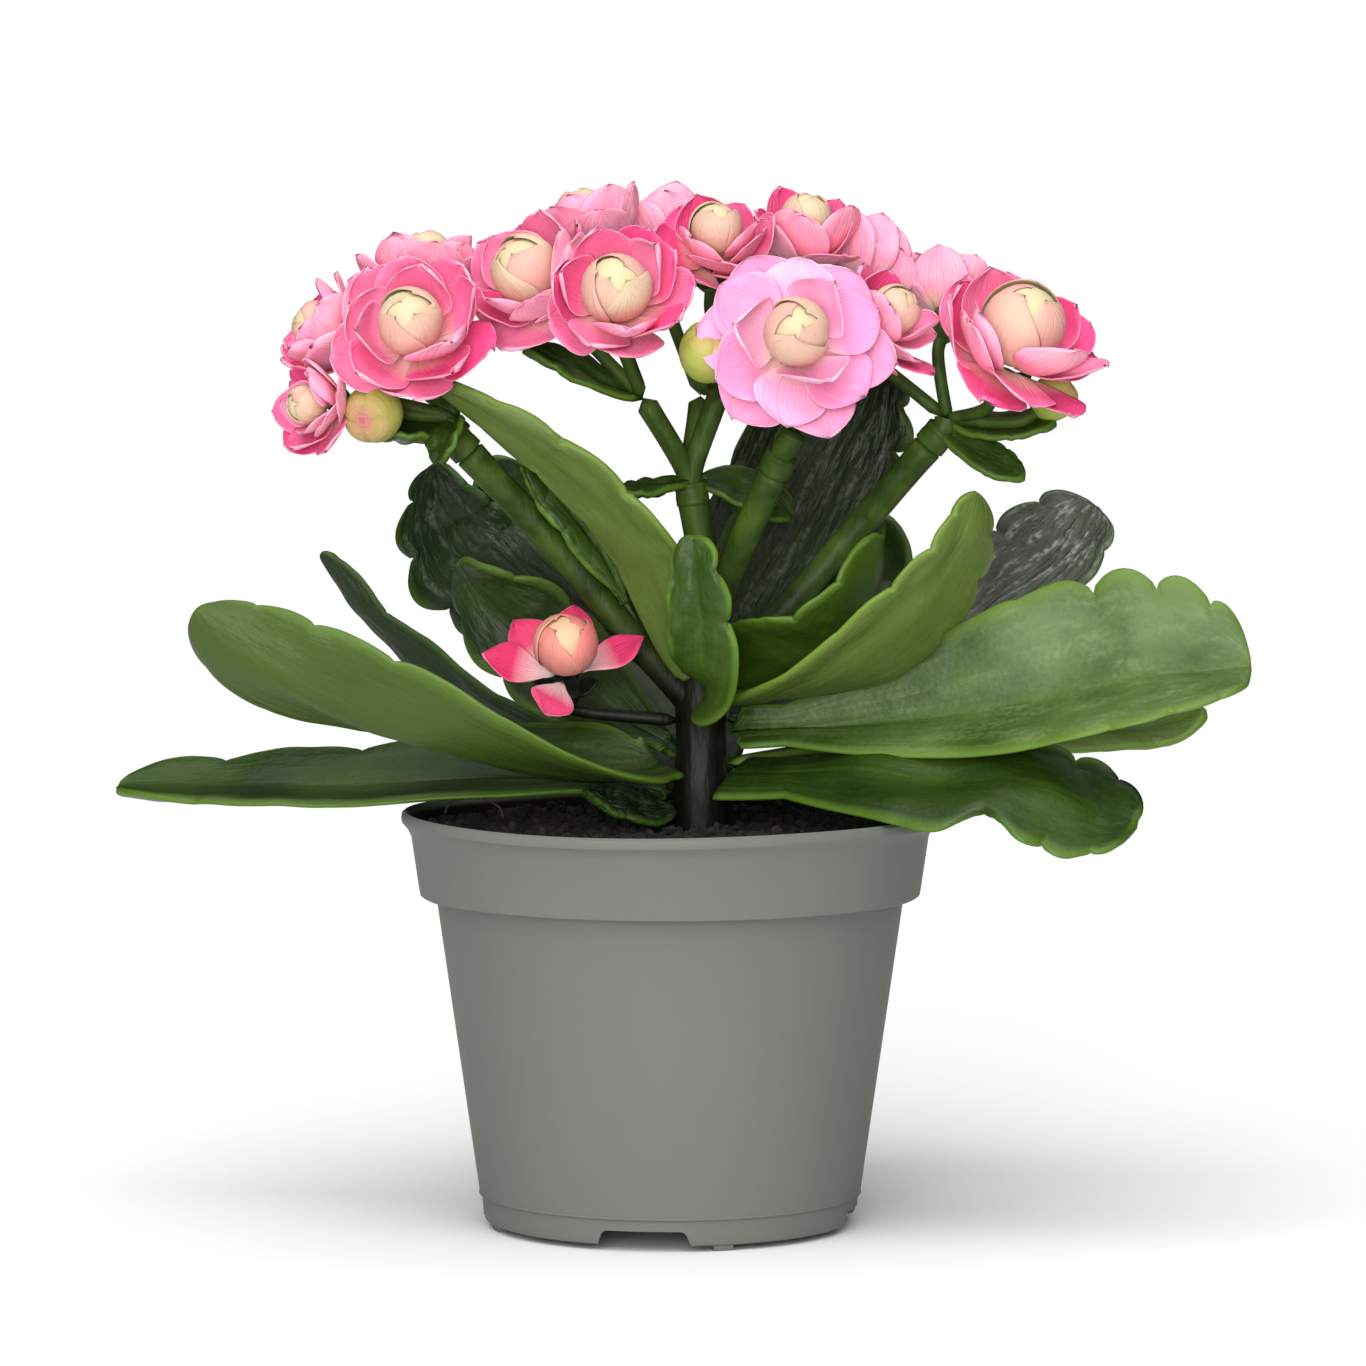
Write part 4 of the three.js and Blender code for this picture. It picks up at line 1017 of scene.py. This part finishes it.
# %% Bloom pieces
petals_made = 0
for flower in blooms:
    bloom_form = new_form()
    outside = []
    for rank, layer in enumerate(petal_layers):
        count = flower["petals"][rank]
        row = []
        for k in range(count):
            draw = seeded(flower["name"], rank, k)
            even = flower["turn"] + 360 * (k + rank * 0.5) / count + draw.uniform(-5, 5)
            turn = math.radians(flower["turns"][k] if flower["turns"] else even)
            near = [petal[1] for petal in outside if math.cos(petal[0] - turn) > 0.4]
            closing = limit(max([0, *near]) + draw.uniform(-0.1, 0.2))
            length = flower["lengths"][k] if flower["lengths"] else draw.uniform(0.9, 1.06)
            lean = draw.uniform(0.06, 0.28)
            petal = clear_petal(flower, layer, turn, closing, length, draw.uniform(0, 90), lean)
            blade(bloom_form, 18, 9, petal[2], petal_thickness, draw.random())
            row.append(petal)
            petals_made += 1
        outside = row
    name = flower["name"]
    finish_piece("petals_" + name, bloom_form, petal_finishes.get(name, petal_pink),
                 ["bloom_" + name])
print("petals:", petals_made)

# %% [markdown]
# The heart is an egg of petals that haven't opened. Each wraps round nearly half of the egg and
# laps over the next, so its edges show as curved seams that meet near the top.

# %% Heart pieces
heart_radius = 3.8
heart_half_height = 3.9


def wrapped_petal(flower, bearing, span, low, high, size, lap):
    """A petal pressed round the egg from low to high, as angles in degrees from its foot."""
    axis = flower["axis"]
    scale = flower["scale"]
    middle_of_egg = flower["at"] + axis * ((heart_height + 0.1) * scale)

    def middle(step, across, bearing=bearing):
        rise = math.radians(mix(low, high, step))
        width = outline(step, 0.5, 0.6, 0.7, 0.05) * round_end(step, 0.01, 0.06)
        out = outward(axis, math.radians(bearing + span * across * width))
        reach = (heart_radius * flower["swell"] * math.sin(rise) * size + lap * across) * scale
        height = -math.cos(rise) * heart_half_height * flower["swell"] * size * scale
        return middle_of_egg + out * max(0.0, reach) + axis * height

    return middle


def heart_core(flower):
    """The egg inside the wraps, which closes the heart behind their tips."""
    surface = wrapped_petal(flower, 0, 180, 0, 180, 0.88, 0)

    def place(step, turn):
        return surface(step, 0, 360 * turn), (0.4, 0.0, 0.0, 0.0, 0.3)

    return place


wraps = [
    # bearing, half its span, how far up it reaches, size
    (20, 88, 166, 0.90),
    (200, 84, 162, 0.93),
    (105, 74, 156, 0.97),
    (320, 78, 150, 1.00),
]
for flower in blooms:
    heart_form = new_form()
    draw = seeded("heart", flower["name"])
    skin(heart_form, 16, 24, heart_core(flower))
    first = draw.uniform(0, 360)
    for bearing, span, high, size in wraps:
        surface = wrapped_petal(flower, first + bearing + draw.uniform(-15, 15), span, 4,
                                high + draw.uniform(-5, 4), size, 0.2)
        blade(heart_form, 22, 12, surface, 0.3, draw.random())
    name = flower["name"]
    finish_piece("wraps_" + name, heart_form, heart_finishes.get(name, heart_cream),
                 ["heart_" + name])
print("hearts:", len(blooms))

# %% [markdown]
# ## Stem and trusses
# The trunk is woody, and low down its colour is painted nearly black for the shade under the
# leaves. Four green stalks branch from it and fork into flower stems, each of which ends in a
# calyx with four pointed lobes. Bracts and buds sit at the forks.

# %% Stem finish
stem_finish = Finish("stem_green", Roughness=0.5, Specular_IOR_Level=0.18)
height = stem_finish.part(stem_finish.place(), 2)
skin_noise = stem_finish.noise(220, 3)
green = stem_finish.blend(rgb(0.016, 0.036, 0.004), rgb(0.050, 0.088, 0.010),
                          skin_noise.above(0.3, 0.65))
# Painted shade: the near-black low on the trunk is partly its woody colour and mostly the shade
# under the leaves.
bark = stem_finish.blend(rgb(0.002, 0.002, 0.001), rgb(0.006, 0.006, 0.003), skin_noise)
stem_finish.feed("Base Color", stem_finish.blend(bark, green, height.above(0.070, 0.088)))
stem_finish.bump(stem_finish.noise(500, 3, stem_finish.stretched((1, 1, 0.25))), 0.0004)

bud_finish = petal_finish("bud_green", rgb(0.70, 0.18, 0.24), rgb(0.33, 0.44, 0.06),
                          rgb(0.20, 0.33, 0.03), rgb(0.66, 0.44, 0.24), 0.75)
print("stem finishes ready")

# %% Stem piece
stalk_radius = 1.9
stalk_ends = {
    "left": [(4, 0, 67), (-5.8, -2, 78), (-15.8, -4, 90), (-26.3, -7, 101.5)],
    "centre": [(4, 0, 74), (4.4, 0, 84), (3, 0, 94.5)],
    "front": [(4.2, -0.5, 74), (7.2, -4, 84), (13.5, -10, 99)],
    "far": [(4.5, 1, 72), (13, 5, 78), (24, 6, 90), (34, 2, 102)],
}


def uneven(radius, seed, swell=0.04):
    """A stem's radius with slow bumps, and a little thicker at either end."""
    def at(step, angle):
        bumps = noise.noise(Vector((step * 6, math.cos(angle), math.sin(angle) + seed)))
        return radius * (1 + swell * bumps + 0.1 * (2 * step - 1) ** 6)

    return at


def trunk(step, angle):
    """The trunk's radius, with the faint rings that old leaves leave."""
    rings = 1 - 0.03 + 0.03 * math.sin(26 * step + math.sin(angle))
    return mix(trunk_radius, trunk_top_radius, step) * rings


def pedicel(form, head, fork):
    end = head["at"] - head["axis"] * head["stalk_end"]
    before = head["at"] - head["axis"] * (head["stalk_end"] + 2.5)
    tube(form, [fork, before, end], uneven(0.85, head["at"].x), 16, 12)


def calyx(form, head):
    """A cup on the axis with four pointed lobes that stand out from its lip."""
    size = head["scale"]
    axis = head["axis"]
    foot = head["at"]

    def cup(step, turn):
        out = outward(axis, 2 * math.pi * turn)
        radius = 2.4 * math.sin(math.pi * min(1, step * 0.62 + 0.02)) * round_end(step, 0.02, 0.2)
        spot = foot + (out * radius + axis * mix(-5, -2.1, step)) * size
        return spot, (0.8, 0, 0, 0, 0.5)

    skin(form, 8, 16, cup)
    for k in range(4):
        out = outward(axis, math.pi * (k / 2))
        side = axis.cross(out)

        def lobe(step, across, out=out, side=side):
            reach = mix(1.2, 4.4, step)
            width = 1.7 * outline(step, 0.35, 0.6, 0.9, 0.02) * round_end(step, 0.01, 0.1)
            rise = mix(-3.2, -1.1, step ** 1.5) + 0.15 * across * across
            return foot + (out * reach - side * (across * width) + axis * rise) * size

        blade(form, 8, 4, lobe, 0.5 * size, 0.5)


stem_form = new_form()
trunk_line = [trunk_foot + Vector((0, 0, rise)) for rise in (0, trunk_height / 2, trunk_height)]
tube(stem_form, trunk_line, trunk, 60, 24)
for name, points in stalk_ends.items():
    tube(stem_form, points, uneven(stalk_radius, len(name)), 48, 20)
low_bloom = next(flower for flower in blooms if flower["truss"] == "stem")
pedicel(stem_form, low_bloom, (1.5, -2.5, 66))
calyx(stem_form, low_bloom)
finish_piece("stem_and_stalks", stem_form, stem_finish, ["stem"])
print("stalks:", len(stalk_ends))

# %% Truss pieces
trusses = {
    "left": [(-27, -8, 105.5)],
    "centre": [(-3.5, -3, 108), (4, 4, 108), (6.5, -1, 109)],
    "front": [(16, -12, 104)],
    "far": [(36, 1.5, 105)],
}
bracts = {
    # where each one grows, its midrib, the way it faces, half its width
    "left": [
        ((-27, -7.8, 105.5), [(-28, -10.5, 104.5), (-29, -12, 102.5), (-29.5, -12, 100)],
         (-0.6, -0.7, 0.2), 3),
        ((-26, -7.5, 104), [(-30, -6, 103), (-34, -8, 103), (-38, -10, 103.5)],
         (-0.2, -0.3, 0.9), 4),
    ],
    "centre": [
        ((3, 0, 97), [(-1, -3, 96.5), (-4, -4, 95.5), (-7, -5, 96)], (0, -0.4, 0.9), 2.5),
        ((3, 0, 97), [(8, 1, 97), (13, 2, 94.5), (16, 2, 92)], (0.2, -0.7, 0.6), 3.5),
        ((-3.5, -3, 108), [(-9, -2, 109), (-14, -3, 113), (-19, -4, 114.5)], (0, -0.5, 0.8), 3.5),
    ],
    "far": [
        ((34.5, 2, 104), [(39, -1, 102), (42, -2, 98), (46, -3, 98)], (0, -0.7, 0.7), 3),
        ((36, 1.5, 105), [(40, 1, 103), (45, -1, 103), (50, -2, 105)], (0, -0.5, 0.8), 3.5),
    ],
}
stalk_collar = 1.4


def bud_skin(head):
    """An egg of four closed petals, with a pinched fold between each two at its nose."""

    def place(step, turn):
        angle = 2 * math.pi * turn
        out = outward(head["axis"], angle)
        rise = math.pi * step
        nose = max(0.0, -math.cos(rise))
        fold = 1 - 0.3 * nose * (1 - abs(math.sin(2 * angle)) ** 0.4)
        reach = 4 * math.sin(rise) * fold
        height = 1.2 - 4.6 * math.cos(rise) - 0.9 * nose ** 6
        spot = head["at"] + (out * reach + head["axis"] * height) * head["size"]
        return spot, (mix(0.2, 0.95, step), 0.0, 0.0, 0.0, 0.9 * step ** 8)

    return place


for name, forks in trusses.items():
    form = new_form()
    line = stalk_ends[name]
    foot = Vector(line[-1])
    heading = (foot - smooth_line(line, 0.98)).normalized()
    inside = foot - heading * 0.8
    above = foot + heading * (seat_gap + 1.6 * stalk_collar)
    tube(form, [inside, foot + heading * 1, above], uneven(stalk_radius + 0.25, 3), 10, 20)
    thick = 1.4 if len(forks) > 1 else stalk_radius - 0.3
    for fork in forks:
        tube(form, [inside, above, fork], uneven(thick, fork[0]), 20, 16)
    for head in [head for head in blooms + buds if head["truss"] == name]:
        fork = min(forks, key=lambda spot: (Vector(spot) - head["at"]).length)
        pedicel(form, head, fork)
        if head in blooms:
            calyx(form, head)
        else:
            bud_form = new_form()
            skin(bud_form, 24, 40, bud_skin(head))
            finish_piece("bud_" + name, bud_form, bud_finish, ["truss_" + name])
    if name in bracts:
        bract_form = new_form()
        for root, rib, face, half in bracts[name]:
            bract = new_leaf(name, "mid", rib, face, foot=root, half=(half, half), fold=(18, 18),
                             broad=0.55, point=0.6, lobes=2, teeth=(0, 0))
            blade(bract_form, 24, 8, leaf_middle(bract), 1.3, 0.3)
        finish_piece("bracts_" + name, bract_form, leaf_finishes[bract["finish"]],
                     ["truss_" + name])
    finish_piece("fork_" + name, form, stem_finish, ["truss_" + name])
print("trusses:", len(trusses))
